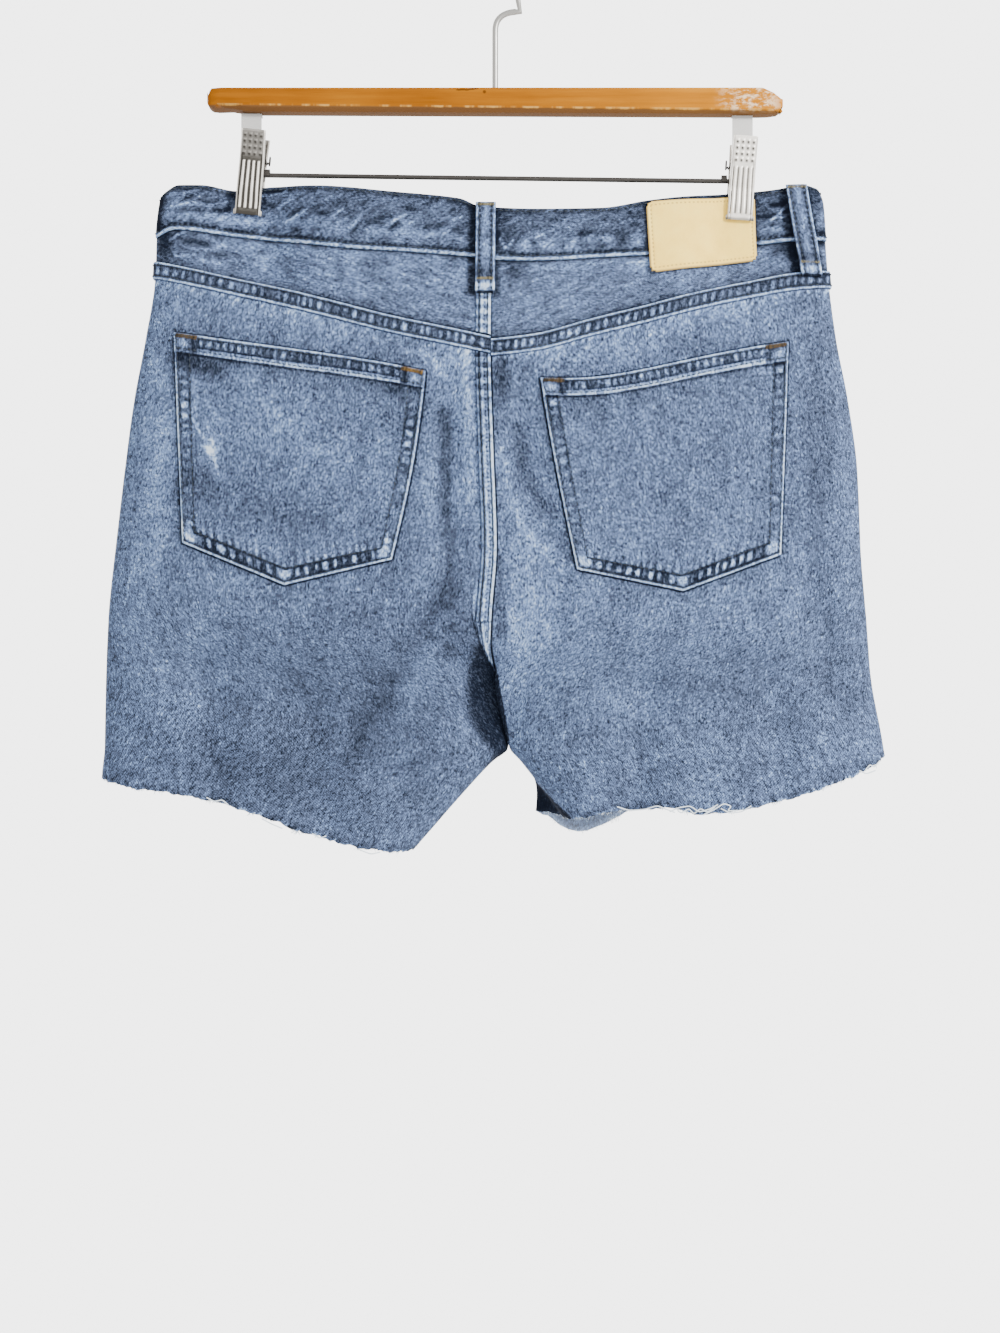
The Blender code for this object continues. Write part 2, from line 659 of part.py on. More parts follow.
def build_back_pocket(side, material):
    """A patch pocket: five sides, with its point at the foot."""
    corners = POCKET[side]
    cells_across, cells_down = 10, 7
    places = []
    for u in spread(0.0, 1.0, cells_across):
        top_x = mix(corners["top_outer"][0], corners["top_inner"][0], u)
        top_drop = mix(corners["top_outer"][1], corners["top_inner"][1], u)
        top_drop += POCKET_DIP[side] * math.sin(math.pi * u * u)
        if u <= 0.5:
            foot_from, foot_to, share = corners["foot_outer"], corners["point"], 2 * u
        else:
            foot_from, foot_to, share = corners["point"], corners["foot_inner"], 2 * u - 1
        foot_x = mix(foot_from[0], foot_to[0], share)
        foot_drop = mix(foot_from[1], foot_to[1], share)
        column = []
        for v in spread(0.0, 1.0, cells_down):
            x, drop = mix(top_x, foot_x, v), mix(top_drop, foot_drop, v)
            x -= side * POCKET_SWELL[side] * math.sin(math.pi * v) * u
            column.append((angle_at(side, "back", x, drop), drop))
        places.append(column)
    lift = (ON_PANEL, ON_PANEL + PANEL_WALL)
    cloth_piece("back_pocket_" + SIDE_NAME[side], side, places, lift, material)


def place_on_body(face, x, drop):
    """The half of the body and the angle on it for a place given by its distance across."""
    seam = inner["left"](drop) if face == "back" else inner["front"](drop)
    side = -1 if x < seam else 1
    return side, angle_at(side, face, x, drop)


def lifted_point(face, x, drop, lift):
    side, angle = place_on_body(face, x, drop)
    return cloth_point(side, angle, drop) + cloth_normal(side, angle, drop) * lift


def build_belt_loop(row, material):
    """A loop sewn down at both ends, bowed out between them."""
    cells = 8
    inside, outside = [], []
    for across in (-LOOP_WIDTH / 2, 0.0, LOOP_WIDTH / 2):
        column_in, column_out = [], []
        for share in spread(0.0, 1.0, cells):
            drop = mix(row["head"], row["foot"], share)
            low = mix(ON_BAND, ON_FELL, smooth_step((share - LOOP_STEP_SHARE) / LOOP_STEP_SPAN))
            low += LOOP_BOW * math.sin(math.pi * share)
            x = row["x"] + row["lean"] * share + across
            column_in.append(lifted_point(row["face"], x, drop, low))
            column_out.append(lifted_point(row["face"], x, drop, low + LOOP_WALL))
        inside.append(column_in)
        outside.append(column_out)
    wall_between(row["name"], inside, outside, material)


def build_patch(material):
    """A blank leather patch over the waistband's lower seam."""
    shares_across = [0.0] + spread(0.07, 0.93, 7) + [1.0]
    shares_down = [0.0] + spread(0.09, 0.91, 4) + [1.0]
    inside, outside = [], []
    for u in shares_across:
        column_in, column_out = [], []
        for v in shares_down:
            across, down = u, v
            if min(u, 1 - u) == 0.0 and min(v, 1 - v) == 0.0:
                across = min(max(u, PATCH_CUT_ACROSS), 1 - PATCH_CUT_ACROSS)
                down = min(max(v, PATCH_CUT_DOWN), 1 - PATCH_CUT_DOWN)
            top = [mix(PATCH["top_inner"][k], PATCH["top_outer"][k], across) for k in (0, 1)]
            foot = [mix(PATCH["foot_inner"][k], PATCH["foot_outer"][k], across) for k in (0, 1)]
            x, drop = mix(top[0], foot[0], down), mix(top[1], foot[1], down)
            column_in.append(lifted_point("back", x, drop, ON_BAND + PATCH_EASE))
            column_out.append(lifted_point("back", x, drop, ON_BAND + PATCH_EASE + PATCH_WALL))
        inside.append(column_in)
        outside.append(column_out)
    wall_between("leather_patch", inside, outside, material)


def build_button(material):
    """The shank button on the waistband at the centre front."""
    drop = (waist_edge["front"](BUTTON_X) + band_seam["front"](BUTTON_X)) / 2
    side, angle = place_on_body("front", BUTTON_X, drop)
    normal = cloth_normal(side, angle, drop)
    steps = 20
    sections = []
    for radius, height in BUTTON_PROFILE:
        ring = []
        for k in range(steps):
            turn = 2 * math.pi * k / steps
            reach = radius * BUTTON_RADIUS
            ring.append((reach * math.cos(turn), reach * math.sin(turn), height * BUTTON_HEIGHT))
        sections.append(ring)
    button = loft("button", sections, material)
    button.rotation_mode = "QUATERNION"
    button.rotation_quaternion = Vector((0, 0, 1)).rotation_difference(normal)
    button.location = (cloth_point(side, angle, drop) + normal * ON_BAND) * MM


# ---- Hanger ----


def loft(name, sections, material, smooth=True):
    """A closed solid through rings of equal length."""
    size = len(sections[0])
    points = [point for section in sections for point in section]
    faces = []
    for ring in range(len(sections) - 1):
        for k in range(size):
            here, after = ring * size + k, ring * size + (k + 1) % size
            faces.append((here, after, after + size, here + size))
    faces.append(tuple(reversed(range(size))))
    faces.append(tuple(range((len(sections) - 1) * size, len(sections) * size)))
    return add_object(name, mesh_from(name, points, faces), material, smooth)


def bar_section(x, depth, top, foot, chamfer):
    high, low = WAIST_LEVEL - top, WAIST_LEVEL - foot
    small = chamfer * 0.35
    half = depth / 2
    outline = (
        (-half, high - small), (-half, low + chamfer), (-half + chamfer * 0.55, low),
        (half - chamfer * 0.55, low), (half, low + chamfer), (half, high - small),
        (half - small, high), (-half + small, high),
    )
    return [(x, y, z) for y, z in outline]


def build_bar(material):
    sections = []
    for row in BAR_ENDS:
        top, foot = BAR_TOP + row["top_cut"], BAR_FOOT - row["foot_cut"]
        sections.append(bar_section(row["x"], BAR_DEPTH - row["thinner"], top, foot, row["chamfer"]))
    bar = loft("hanger_bar", sections, material)
    bore = bpy.data.meshes.new("stem_bore")
    shape = bmesh.new()
    radius = (HOOK_WIRE + SEAM_GAP) * MM
    depth = (HOOK_STEM_IN_BAR + 6.0) * MM
    bmesh.ops.create_cone(shape, cap_ends=True, segments=16, radius1=radius, radius2=radius, depth=depth)
    shape.to_mesh(bore)
    shape.free()
    cutter = bpy.data.objects.new("stem_bore", bore)
    bpy.context.scene.collection.objects.link(cutter)
    cutter.location = (0, 0, (WAIST_LEVEL - BAR_TOP - HOOK_STEM_IN_BAR / 2 + 2.5) * MM)
    cutter.hide_render = True
    cutter.display_type = "WIRE"
    cut = bar.modifiers.new("stem bore", "BOOLEAN")
    cut.operation = "DIFFERENCE"
    cut.solver = "EXACT"
    cut.object = cutter


def wire_object(name, path, radius, material, sides=10):
    """A round wire along a path in the XZ plane, with flat ends."""
    sections = []
    for k, point in enumerate(path):
        before, after = path[max(k - 1, 0)], path[min(k + 1, len(path) - 1)]
        along = (Vector(after) - Vector(before)).normalized()
        across = along.cross(Vector((0, 1, 0))).normalized()
        ring = []
        for step in range(sides):
            turn = 2 * math.pi * step / sides
            outward = across * math.cos(turn) + Vector((0, 1, 0)) * math.sin(turn)
            ring.append(Vector(point) + outward * radius)
        sections.append(ring)
    loft(name, sections, material)


def build_hook(material):
    """A steel wire hook that hangs on a rail at the origin and stands in the bar."""
    middle = HOOK_WIRE - HOOK_BEND
    stem_foot = WAIST_LEVEL - BAR_TOP - HOOK_STEM_IN_BAR + SEAM_GAP
    neck_foot = Vector((0, 0, middle - NECK_FOOT))
    neck_top = Vector((0, 0, middle - NECK_TOP))
    neck_end = Vector((NECK_REACH, 0, middle - NECK_TOP - HOOK_WIRE))
    path = [(0, 0, stem_foot), (0, 0, stem_foot + HOOK_BEND), tuple(neck_foot)]
    for share in (0.25, 0.5, 0.75):
        near, far = neck_foot.lerp(neck_top, share), neck_top.lerp(neck_end, share)
        path.append(tuple(near.lerp(far, share)))
    for angle in spread(HOOK_FIRST_ANGLE, HOOK_LAST_ANGLE, HOOK_STEPS):
        turn = math.radians(angle)
        path.append((HOOK_BEND * math.cos(turn), 0, middle + HOOK_BEND * math.sin(turn)))
    wire_object("hanger_hook", path, HOOK_WIRE, material)


def rod_drop(x):
    return mix(ROD_LEFT_DROP, ROD_RIGHT_DROP, (x + ROD_REACH) / (2 * ROD_REACH))


def build_rod(material):
    path = [(x, 0, WAIST_LEVEL - rod_drop(x)) for x in (-ROD_REACH, 0.0, ROD_REACH)]
    wire_object("clip_rod", path, ROD_RADIUS, material)


def build_strap(side, x, material):
    """A flat steel strap from the bar's underside down to an eye round the rod."""
    top = WAIST_LEVEL - BAR_FOOT - SEAM_GAP
    eye = WAIST_LEVEL - rod_drop(x)
    radius = ROD_RADIUS + SEAM_GAP
    outside = radius + STRAP_WALL
    half = STRAP_WALL / 2
    outline = [(-STRAP_FOOT, top), (half, top), (half, eye + outside)]
    for k in range(11):
        turn = math.radians(90 - 300 * k / 10)
        outline.append((outside * math.cos(turn), eye + outside * math.sin(turn)))
    for k in range(11):
        turn = math.radians(-210 + 300 * k / 10)
        outline.append((radius * math.cos(turn), eye + radius * math.sin(turn)))
    outline += [(-half, eye + radius + 0.2), (-half, top - STRAP_WALL), (-STRAP_FOOT, top - STRAP_WALL)]
    sections = []
    for across in (-STRAP_WIDTH / 2, STRAP_WIDTH / 2):
        sections.append([(x + across, -y, z) for y, z in reversed(outline)])
    loft("hanger_strap_" + SIDE_NAME[side], sections, material, smooth=False)


def jaw_section(height, reach, flange, width, facing):
    half, wall = width / 2, CLIP_WALL
    outline = (
        (-half, reach), (half, reach), (half, reach - flange), (half - wall, reach - flange),
        (half - wall, reach - wall), (wall - half, reach - wall), (wall - half, reach - flange),
        (-half, reach - flange),
    )
    return [(x, facing * y, height) for x, y in outline]


def build_clip(row, material):
    """Two sprung jaws of sheet metal that close on the waistband, leaning a little with the cloth."""
    place = Vector((row["x"], 0, WAIST_LEVEL - row["drop"])) * MM
    pose = Matrix.Translation(place) @ Matrix.Rotation(math.radians(row["lean"]), 4, "Y")
    for face, facing in (("back", -1), ("front", 1)):
        sections = []
        for cut in JAW:
            near_cloth = smooth_step((JAW_LIFT_START - cut["height"]) / JAW_LIFT_LENGTH)
            reach = cut["reach"] + row[face + "_lift"] * near_cloth
            sections.append(jaw_section(cut["height"], reach, cut["flange"], cut["width"], facing))
        jaw = loft("clip_" + row["name"] + "_" + face + "_jaw", sections, material, smooth=False)
        jaw.matrix_world = pose
    inward = 1 if row["x"] < 0 else -1
    steps = 14
    rings = []
    for cut in SPRING:
        ring = []
        for k in range(steps):
            turn = 2 * math.pi * k / steps
            y = SPRING_OFFSET + cut["radius"] * math.cos(turn)
            z = SPRING_HEIGHT + cut["radius"] * math.sin(turn)
            ring.append((cut["towards_middle"] * inward, y, z))
        rings.append(ring)
    pin = loft("clip_" + row["name"] + "_spring", rings, material)
    pin.matrix_world = pose


def build_all():
    clear_scene()
    denim = make_material("washed denim", (0.19, 0.27, 0.40), 0.9)
    denim_dark = make_material("denim folds", (0.12, 0.18, 0.28), 0.9)
    leather = make_material("pale leather", (0.76, 0.66, 0.42), 0.7)
    wood = make_material("varnished wood", (0.50, 0.20, 0.02), 0.35)
    steel = make_material("nickel steel", (0.60, 0.58, 0.55), 0.3, 1.0)
    brass = make_material("dull brass", (0.45, 0.33, 0.18), 0.4, 1.0)
    for side in (-1, 1):
        build_back_panel(side, denim)
        build_yoke(side, denim)
        build_front_panel(side, denim)
        build_pocket_facing(side, denim_dark)
        build_yoke_fell(side, denim_dark)
        build_back_pocket(side, denim)
    build_fly(denim_dark)
    build_seat_fell(denim_dark)
    build_waistband(denim)
    for row in LOOPS:
        build_belt_loop(row, denim_dark)
    build_patch(leather)
    build_button(brass)
    build_bar(wood)
    build_hook(steel)
    build_rod(steel)
    for row in CLIPS:
        build_clip(row, steel)
    for side, x in STRAP_PLACES:
        build_strap(side, x, steel)


build_all()
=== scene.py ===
"""Looks for the denim shorts and their clip hanger: cloth, sewing, frayed edges, leather, wood and steel.

Sizes are in millimetres until a mesh is made. A "drop" is a distance below the waist line and an "angle"
runs round one half of the body: 0 at the centre back, 90 at the side fold, 180 at the centre front.
"""

import math

import bpy
import numpy as np
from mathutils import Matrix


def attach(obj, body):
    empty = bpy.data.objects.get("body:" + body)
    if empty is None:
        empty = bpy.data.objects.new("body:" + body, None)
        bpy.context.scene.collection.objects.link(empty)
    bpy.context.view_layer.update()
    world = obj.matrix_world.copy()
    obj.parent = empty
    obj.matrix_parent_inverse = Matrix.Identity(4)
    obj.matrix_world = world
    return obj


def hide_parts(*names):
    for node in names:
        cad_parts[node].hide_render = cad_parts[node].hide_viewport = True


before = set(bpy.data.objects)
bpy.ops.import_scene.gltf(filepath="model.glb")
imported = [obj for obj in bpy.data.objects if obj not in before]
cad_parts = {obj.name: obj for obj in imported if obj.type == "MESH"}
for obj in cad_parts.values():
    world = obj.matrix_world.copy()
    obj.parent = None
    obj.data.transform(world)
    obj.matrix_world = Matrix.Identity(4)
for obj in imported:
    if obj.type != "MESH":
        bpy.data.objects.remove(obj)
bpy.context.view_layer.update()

MM = 0.001


def table(columns, *rows):
    """Rows of values, each under the names of its columns."""
    names = columns.split()
    return [dict(zip(names, row)) for row in rows]


# ---- The form of the cloth, as its solids have it ----

WAIST_LEVEL = -150.8
SIDE_SEAM_ANGLE = 100.0
LEG_BACK_TURN = 190.0
INSEAM_ROUNDNESS = 0.62
CROTCH_DROP = 348.0
FRONT_LEG_START = 285.0
OVERHANG_ANGLE = 9.0
FRONT_BULGE_ANGLE, FRONT_BULGE_DROP, FRONT_BULGE_GROWTH = 152.0, 358.0, 0.85
PANEL_FACE, CLOTH_WALL = 0.6, 1.2
BAND_FACE, BAND_INSIDE, BAND_HEIGHT = 1.4, 0.8, 42.0
LAYER_GAP = 0.45
ON_PANEL = PANEL_FACE + LAYER_GAP
POCKET_FACE = ON_PANEL + CLOTH_WALL
FELL_FACE = ON_PANEL + 1.1
SEAM_GAP = 0.3
YOKE_FELL_WIDTH = 11.0
SEAT_FELL_WIDTH = 9.0
SEAT_FELL_END = 270.0

BODY = table(
    "drop left right back front roundness",
    (0, -203.0, 197.5, 10.0, 10.0, 0.45),
    (12, -206.5, 202.0, 11.0, 11.0, 0.45),
    (30, -208.5, 203.5, 13.0, 12.5, 0.48),
    (60, -210.0, 206.0, 17.0, 15.0, 0.55),
    (95, -215.5, 210.5, 21.0, 18.0, 0.62),
    (135, -223.0, 218.0, 25.0, 21.0, 0.66),
    (180, -229.0, 224.0, 27.0, 23.0, 0.70),
    (230, -235.0, 226.0, 28.0, 25.0, 0.70),
    (270, -239.0, 229.5, 28.0, 26.0, 0.70),
    (305, -240.5, 232.5, 27.0, 26.0, 0.70),
    (347, -241.0, 239.5, 26.0, 25.0, 0.70),
    (365, -242.5, 242.5, 25.0, 24.0, 0.70),
    (420, -245.0, 244.0, 23.0, 22.0, 0.70),
)
INNER = table(
    "drop left right front parting leg overhang",
    (0, -1.0, -1.0, -2.0, 0.15, 0.00, 0.0),
    (105, -2.5, -2.5, -1.0, 0.15, 0.00, 0.0),
    (166, -0.8, -0.8, 0.0, 0.15, 0.00, 0.0),
    (225, 1.2, 1.2, 2.0, 0.15, 0.00, 0.0),
    (263, -1.5, -1.5, 4.0, 0.30, 0.06, 0.0),
    (282, -2.5, -2.5, 5.0, 0.60, 0.24, 3.0),
    (306, 1.6, 1.6, 7.0, 0.90, 0.66, 8.0),
    (327, 5.4, 5.4, 7.6, 0.95, 0.90, 5.0),
    (341, 7.8, 7.8, 8.4, 0.95, 0.99, 2.6),
    (348, 8.6, 8.8, 8.8, 0.95, 1.00, 1.0),
    (356, -0.8, 15.4, 10.3, 0.95, 1.00, 0.0),
    (375, -18.5, 30.0, 10.3, 0.95, 1.00, 0.0),
    (420, -58.0, 63.0, 10.3, 0.95, 1.00, 0.0),
)
# Edges and seam lines, each a drop at a distance from the middle.
WAIST_EDGE = {
    "back": (
        (-208, 11.0), (-203, 5.0), (-195, 0.6), (-181, 0.5), (-160, 3.4), (-137, 1.1), (-112, 1.5),
        (-60, 5.8), (-22, 10.0), (-8, 15.2), (28, 16.4), (65, 15.8), (95, 11.0), (143, 5.3),
        (176, 2.6), (189, 0.4), (197, 2.2), (203, 9.0),
    ),
    "front": (
        (-208, 11.0), (-195, 4.5), (-152, 3.4), (-120, 6.5), (-60, 17.0), (0, 24.0), (60, 19.0),
        (120, 8.5), (152, 5.0), (190, 5.0), (203, 9.0),
    ),
}
BAND_SEAM = {
    "back": (
        (-209, 33.5), (-197, 29.0), (-179, 30.4), (-139, 35.0), (-90, 41.6), (-54, 44.0), (-15, 47.2),
        (0, 49.2), (19, 49.6), (76, 46.9), (95, 45.7), (162, 37.6), (187, 35.8), (204, 35.4),
    ),
    "front": (
        (-209, 34.0), (-180, 35.0), (-152, 38.0), (-60, 51.0), (0, 57.0), (60, 53.0), (152, 39.5),
        (185, 36.5), (204, 35.4),
    ),
}
YOKE_SEAM = {
    -1: ((-210, 47.5), (-161, 59.0), (-105, 72.4), (-63, 83.4), (-35, 89.4), (0, 97.0)),
    1: (
        (0, 97.8), (25, 94.6), (57, 85.9), (88, 78.0), (119, 69.6), (151, 62.2), (182, 56.1), (206, 53.4),
    ),
}
HEM_BACK = {
    -1: (
        (-243, 366.5), (-224, 372.0), (-202, 374.6), (-180, 378.2), (-158, 384.0), (-136, 390.8),
        (-121, 397.6), (-99, 404.4), (-77, 409.8), (-60, 411.2), (-49, 410.0), (0, 408.0),
    ),
    1: (
        (0, 392.0), (42, 391.2), (63, 388.8), (76, 385.6), (110, 384.4), (123, 387.8), (150, 385.0),
        (179, 378.8), (208, 369.2), (230, 360.0), (238, 354.5), (243, 351.0),
    ),
}
# Hems of the front of each leg, by the angle round the body.
HEM_FRONT = {
    -1: ((100, 366.0), (120, 374.0), (145, 388.0), (165, 402.0), (180, 408.0)),
    1: (
        (100, 351.5), (120, 360.0), (136, 371.0), (146, 379.0), (152, 386.0), (156, 393.5), (160, 401.5),
        (164, 392.0), (168, 388.5), (174, 388.5), (180, 391.0),
    ),
}
FOLD_COLUMNS = "x0 drop0 x1 drop1 half_width depth"
FOLDS = {
    "back": table(
        FOLD_COLUMNS,
        (-27, 125, -25, 225, 9, 2.2),
        (18, 150, 32, 235, 9, 1.6),
        (-38, 275, -74, 335, 12, 2.6),
        (192, 240, 212, 320, 12, 2.2),
        (-178, 300, -168, 372, 15, 3.2),
        (-112, 330, -104, 402, 14, 3.6),
        (92, 310, 84, 388, 13, 3.4),
        (168, 310, 176, 376, 14, 3.0),
        (-195, 50, -120, 62, 7, 1.4),
    ),
    "left_hollow": table(FOLD_COLUMNS, (-14, 298, -6, 332, 11, 8.0)),
    "front": table(
        FOLD_COLUMNS,
        (-30, 215, -95, 265, 12, 2.4),
        (40, 225, 105, 262, 11, 2.2),
        (-165, 285, -150, 368, 15, 3.2),
        (-85, 315, -92, 398, 14, 3.0),
        (118, 300, 124, 372, 14, 3.2),
        (190, 260, 200, 345, 13, 2.6),
        (-60, 70, -20, 98, 9, 1.6),
        (25, 96, 70, 72, 9, 1.6),
    ),
}
POCKET = {
    -1: {
        "top_outer": (-197.0, 92.6), "top_inner": (-41.6, 118.0),
        "foot_outer": (-191.0, 222.6), "point": (-128.0, 248.8), "foot_inner": (-62.2, 233.2),
        "dip": -1.2, "swell": 2.6,
    },
    1: {
        "top_outer": (180.0, 98.6), "top_inner": (27.0, 122.0),
        "foot_outer": (174.5, 230.0), "point": (114.5, 252.4), "foot_inner": (49.5, 239.2),
        "dip": 5.0, "swell": 0.8,
    },
}
LOOPS = table(
    "name face x lean head foot",
    ("belt_loop_back", "back", -5.6, -0.5, 13.0, 70.6),
    ("belt_loop_back_right", "back", 185.8, 8.4, 0.8, 58.6),
    ("belt_loop_front_left", "front", -78.0, -2.0, 13.0, 68.0),
    ("belt_loop_front_right", "front", 78.0, 2.0, 14.5, 69.5),
    ("belt_loop_side_left", "front", -188.0, -4.0, 4.2, 58.0),
)
LOOP_WIDTH, LOOP_LENGTH, LOOP_WALL, LOOP_BOW = 12.4, 56.0, 2.0, 1.6
LOOP_STEP_SHARE, LOOP_STEP_SPAN = 0.4, 0.3
PATCH = {
    "top_inner": (92.6, 12.8), "top_outer": (160.6, 6.2),
    "foot_inner": (95.0, 57.4), "foot_outer": (161.9, 48.2),
}
PATCH_WIDE, PATCH_HIGH, PATCH_CORNER, PATCH_SHELL = 67.0, 43.0, 3.0, 1.3
PATCH_FACE, PATCH_WALL = BAND_FACE + LAYER_GAP + 0.15 + 1.5, 1.5
POCKET_OPENING_START, POCKET_OPENING_DROP, POCKET_OPENING_POWER = 148.0, 92.0, 0.85
FACING_REACH = 20.0
CLIPS = table(
    "name x drop lean back_lift front_lift",
    ("left", -151.0, -3.9, 6.0, 0.0, 0.0),
    ("right", 152.4, 0.2, 3.9, 3.4, 0.2),
)
PINCH_FLAT_WIDTH = 17.0
PINCH_HALF_DEPTH, PINCH_HALF_WIDTH = 1.45, 21.0
PINCH_FULL_DROP, PINCH_END_DROP = 24.0, 88.0


def curve(rows):
    """A smooth curve through the rows that never swings past them."""
    places, values = np.array(rows, float).T
    slopes = np.diff(values) / np.diff(places)
    before, after = slopes[:-1], slopes[1:]
    total = np.where(before + after == 0, 1, before + after)
    middle = np.where(before * after <= 0, 0, 2 * before * after / total)
    tangents = np.concatenate([slopes[:1], middle, slopes[-1:]])

    def value_at(place):
        place = np.clip(place, places[0], places[-1])
        low = np.clip(np.searchsorted(places, place) - 1, 0, len(places) - 2)
        span = places[low + 1] - places[low]
        t = (place - places[low]) / span
        rise = values[low] * (2 * t**3 - 3 * t**2 + 1) + values[low + 1] * (3 * t**2 - 2 * t**3)
        return rise + span * (tangents[low] * (t**3 - 2 * t**2 + t) + tangents[low + 1] * (t**3 - t**2))

    return value_at


def column_curves(rows):
    """A curve down the drops for each other column."""
    return {name: curve([(row["drop"], row[name]) for row in rows]) for name in rows[0] if name != "drop"}


body, inner = column_curves(BODY), column_curves(INNER)
waist_edge = {face: curve(rows) for face, rows in WAIST_EDGE.items()}
band_seam = {face: curve(rows) for face, rows in BAND_SEAM.items()}
yoke_seam = {side: curve(rows) for side, rows in YOKE_SEAM.items()}
hem_back = {side: curve(rows) for side, rows in HEM_BACK.items()}
hem_front = {side: curve(rows) for side, rows in HEM_FRONT.items()}
SIDE_NAME = {-1: "left", 1: "right"}


def mix(a, b, share):
    return a + (b - a) * share


def ease(t):
    t = np.clip(t, 0.0, 1.0)
    return t * t * (3 - 2 * t)


def bell(distance, width):
    """1 on a line, falling away on both sides of it."""
    return np.exp(-((distance / width) ** 2))


def fading(distance, reach):
    """1 up to a line, falling away beyond it."""
    return np.exp(-np.maximum(distance, 0) / reach)


def unit(vectors):
    return vectors / np.linalg.norm(vectors, axis=-1, keepdims=True)


def signed_power(value, power):
    return np.sign(value) * np.abs(value) ** power


def fold_shift(folds, x, drop):
    """How far the folds sink the cloth here."""
    total = 0.0
    for fold in folds:
        ax, ad = fold["x1"] - fold["x0"], fold["drop1"] - fold["drop0"]
        px, pd = x - fold["x0"], drop - fold["drop0"]
        share = np.clip((px * ax + pd * ad) / (ax * ax + ad * ad), 0.0, 1.0)
        total = total + fold["depth"] * bell(np.hypot(px - ax * share, pd - ad * share), fold["half_width"])
    return total


def pinch_share(x, drop):
    """How much the clips press the cloth flat here."""
    nearest = np.minimum(*[np.abs(x - clip["x"]) for clip in CLIPS])
    fade = 1 - ease((drop - PINCH_FULL_DROP) / (PINCH_END_DROP - PINCH_FULL_DROP))
    return fade * bell(np.maximum(nearest - PINCH_FLAT_WIDTH / 2, 0.0), PINCH_HALF_WIDTH)


def cloth(side, angle, drop):
    """The middle of the cloth wall on the left (-1) or right (1) half, for whole arrays of places."""
    angle, drop = np.broadcast_arrays(np.asarray(angle, float), np.asarray(drop, float))
    front_share = ease((angle - 60.0) / 100.0)
    seam = inner[SIDE_NAME[side]](drop)
    seam = np.where(drop < CROTCH_DROP, mix(seam, inner["front"](drop), front_share), seam)
    centre = seam + side * inner["parting"](drop)
    edge = body[SIDE_NAME[side]](drop)
    front_leg = ease((drop - FRONT_LEG_START) / (CROTCH_DROP - FRONT_LEG_START))
    leg = mix(inner["leg"](drop), front_leg, front_share)
    back_turn = angle * LEG_BACK_TURN / SIDE_SEAM_ANGLE
    front_turn = 360.0 - (180.0 - angle) * (360.0 - LEG_BACK_TURN) / (180.0 - SIDE_SEAM_ANGLE)
    turn = np.radians(np.where(angle <= SIDE_SEAM_ANGLE, back_turn, front_turn))
    across_body = np.sin(np.radians(angle))
    across_leg = (1 - np.cos(turn)) / 2
    roundness = body["roundness"](drop)
    near_inseam = np.abs(np.cos(turn / 2)) ** 3
    out_body = signed_power(np.cos(np.radians(angle)), roundness)
    out_leg = signed_power(np.sin(turn), mix(roundness, INSEAM_ROUNDNESS, near_inseam))
    x = centre + (edge - centre) * mix(across_body, across_leg, leg)
    if side > 0:
        x = x - inner["overhang"](drop) * np.sin(math.pi * np.clip(angle / OVERHANG_ANGLE, 0, 1)) ** 2
        past = np.clip((angle - FRONT_BULGE_ANGLE) / (180.0 - FRONT_BULGE_ANGLE), 0, 1)
        x = x - FRONT_BULGE_GROWTH * np.maximum(drop - FRONT_BULGE_DROP, 0) * np.sin(math.pi * past) ** 2
    out = mix(out_body, out_leg, leg)
    y = -np.where(out > 0, body["back"](drop), body["front"](drop)) * out
    pinched = pinch_share(x, drop) * ease(np.abs(y) / (2 * PINCH_HALF_DEPTH))
    y = mix(y, np.sign(y) * PINCH_HALF_DEPTH, pinched)
    back_fold = fold_shift(FOLDS["back"], x, drop)
    if side < 0:
        back_fold = back_fold + fold_shift(FOLDS["left_hollow"], x, drop)
    fold = np.where(y < 0, back_fold, fold_shift(FOLDS["front"], x, drop)) * ease(np.abs(y) / 12.0)
    y = y - np.sign(y) * fold
    return np.stack([x, y, WAIST_LEVEL - drop], -1)


def outward(side, angle, drop):
    """The direction straight out of the cloth."""
    around = cloth(side, angle + 0.6, drop) - cloth(side, angle - 0.6, drop)
    down = cloth(side, angle, drop + 0.8) - cloth(side, angle, drop - 0.8)
    return unit(np.cross(down, around) * side)


def angle_at(side, face, x, drop):
    """The angle at which a half of the body reaches a distance across."""
    x, drop = np.broadcast_arrays(np.asarray(x, float), np.asarray(drop, float))
    low = np.zeros(x.shape) if face == "back" else np.full(x.shape, 180.0)
    high = np.full(x.shape, 90.0)
    for _ in range(22):
        middle = (low + high) / 2
        short = side * (cloth(side, middle, drop)[..., 0] - x) < 0
        low, high = np.where(short, middle, low), np.where(short, high, middle)
    return (low + high) / 2


def drop_on_edge(side, angle, edge):
    """The drop of an edge line at each angle."""
    drop = edge(cloth(side, angle, 100.0)[..., 0])
    for _ in range(12):
        drop = mix(drop, edge(cloth(side, angle, drop)[..., 0]), 0.8)
    return drop


def on_both_faces(side, angle, edges):
    """The drop of an edge that runs right round, from its line on each face."""
    front = drop_on_edge(side, angle, edges["front"])
    back = drop_on_edge(side, angle, edges["back"])
    return mix(back, front, ease((angle - SIDE_SEAM_ANGLE) / 20.0))


# ---- Uneven things: the same every run ----


def noise(x, y=0.0, seed=0):
    """Smooth values between -1 and 1, one lattice step apart."""
    x, y = np.broadcast_arrays(np.asarray(x, float), np.asarray(y, float))
    ix, iy = np.floor(x), np.floor(y)
    fx, fy = ease(x - ix), ease(y - iy)

    def corner(a, b):
        value = np.sin(a * 127.1 + b * 311.7 + seed * 74.7) * 43758.5453
        return 2 * (value - np.floor(value)) - 1

    low = mix(corner(ix, iy), corner(ix + 1, iy), fx)
    high = mix(corner(ix, iy + 1), corner(ix + 1, iy + 1), fx)
    return mix(low, high, fy)


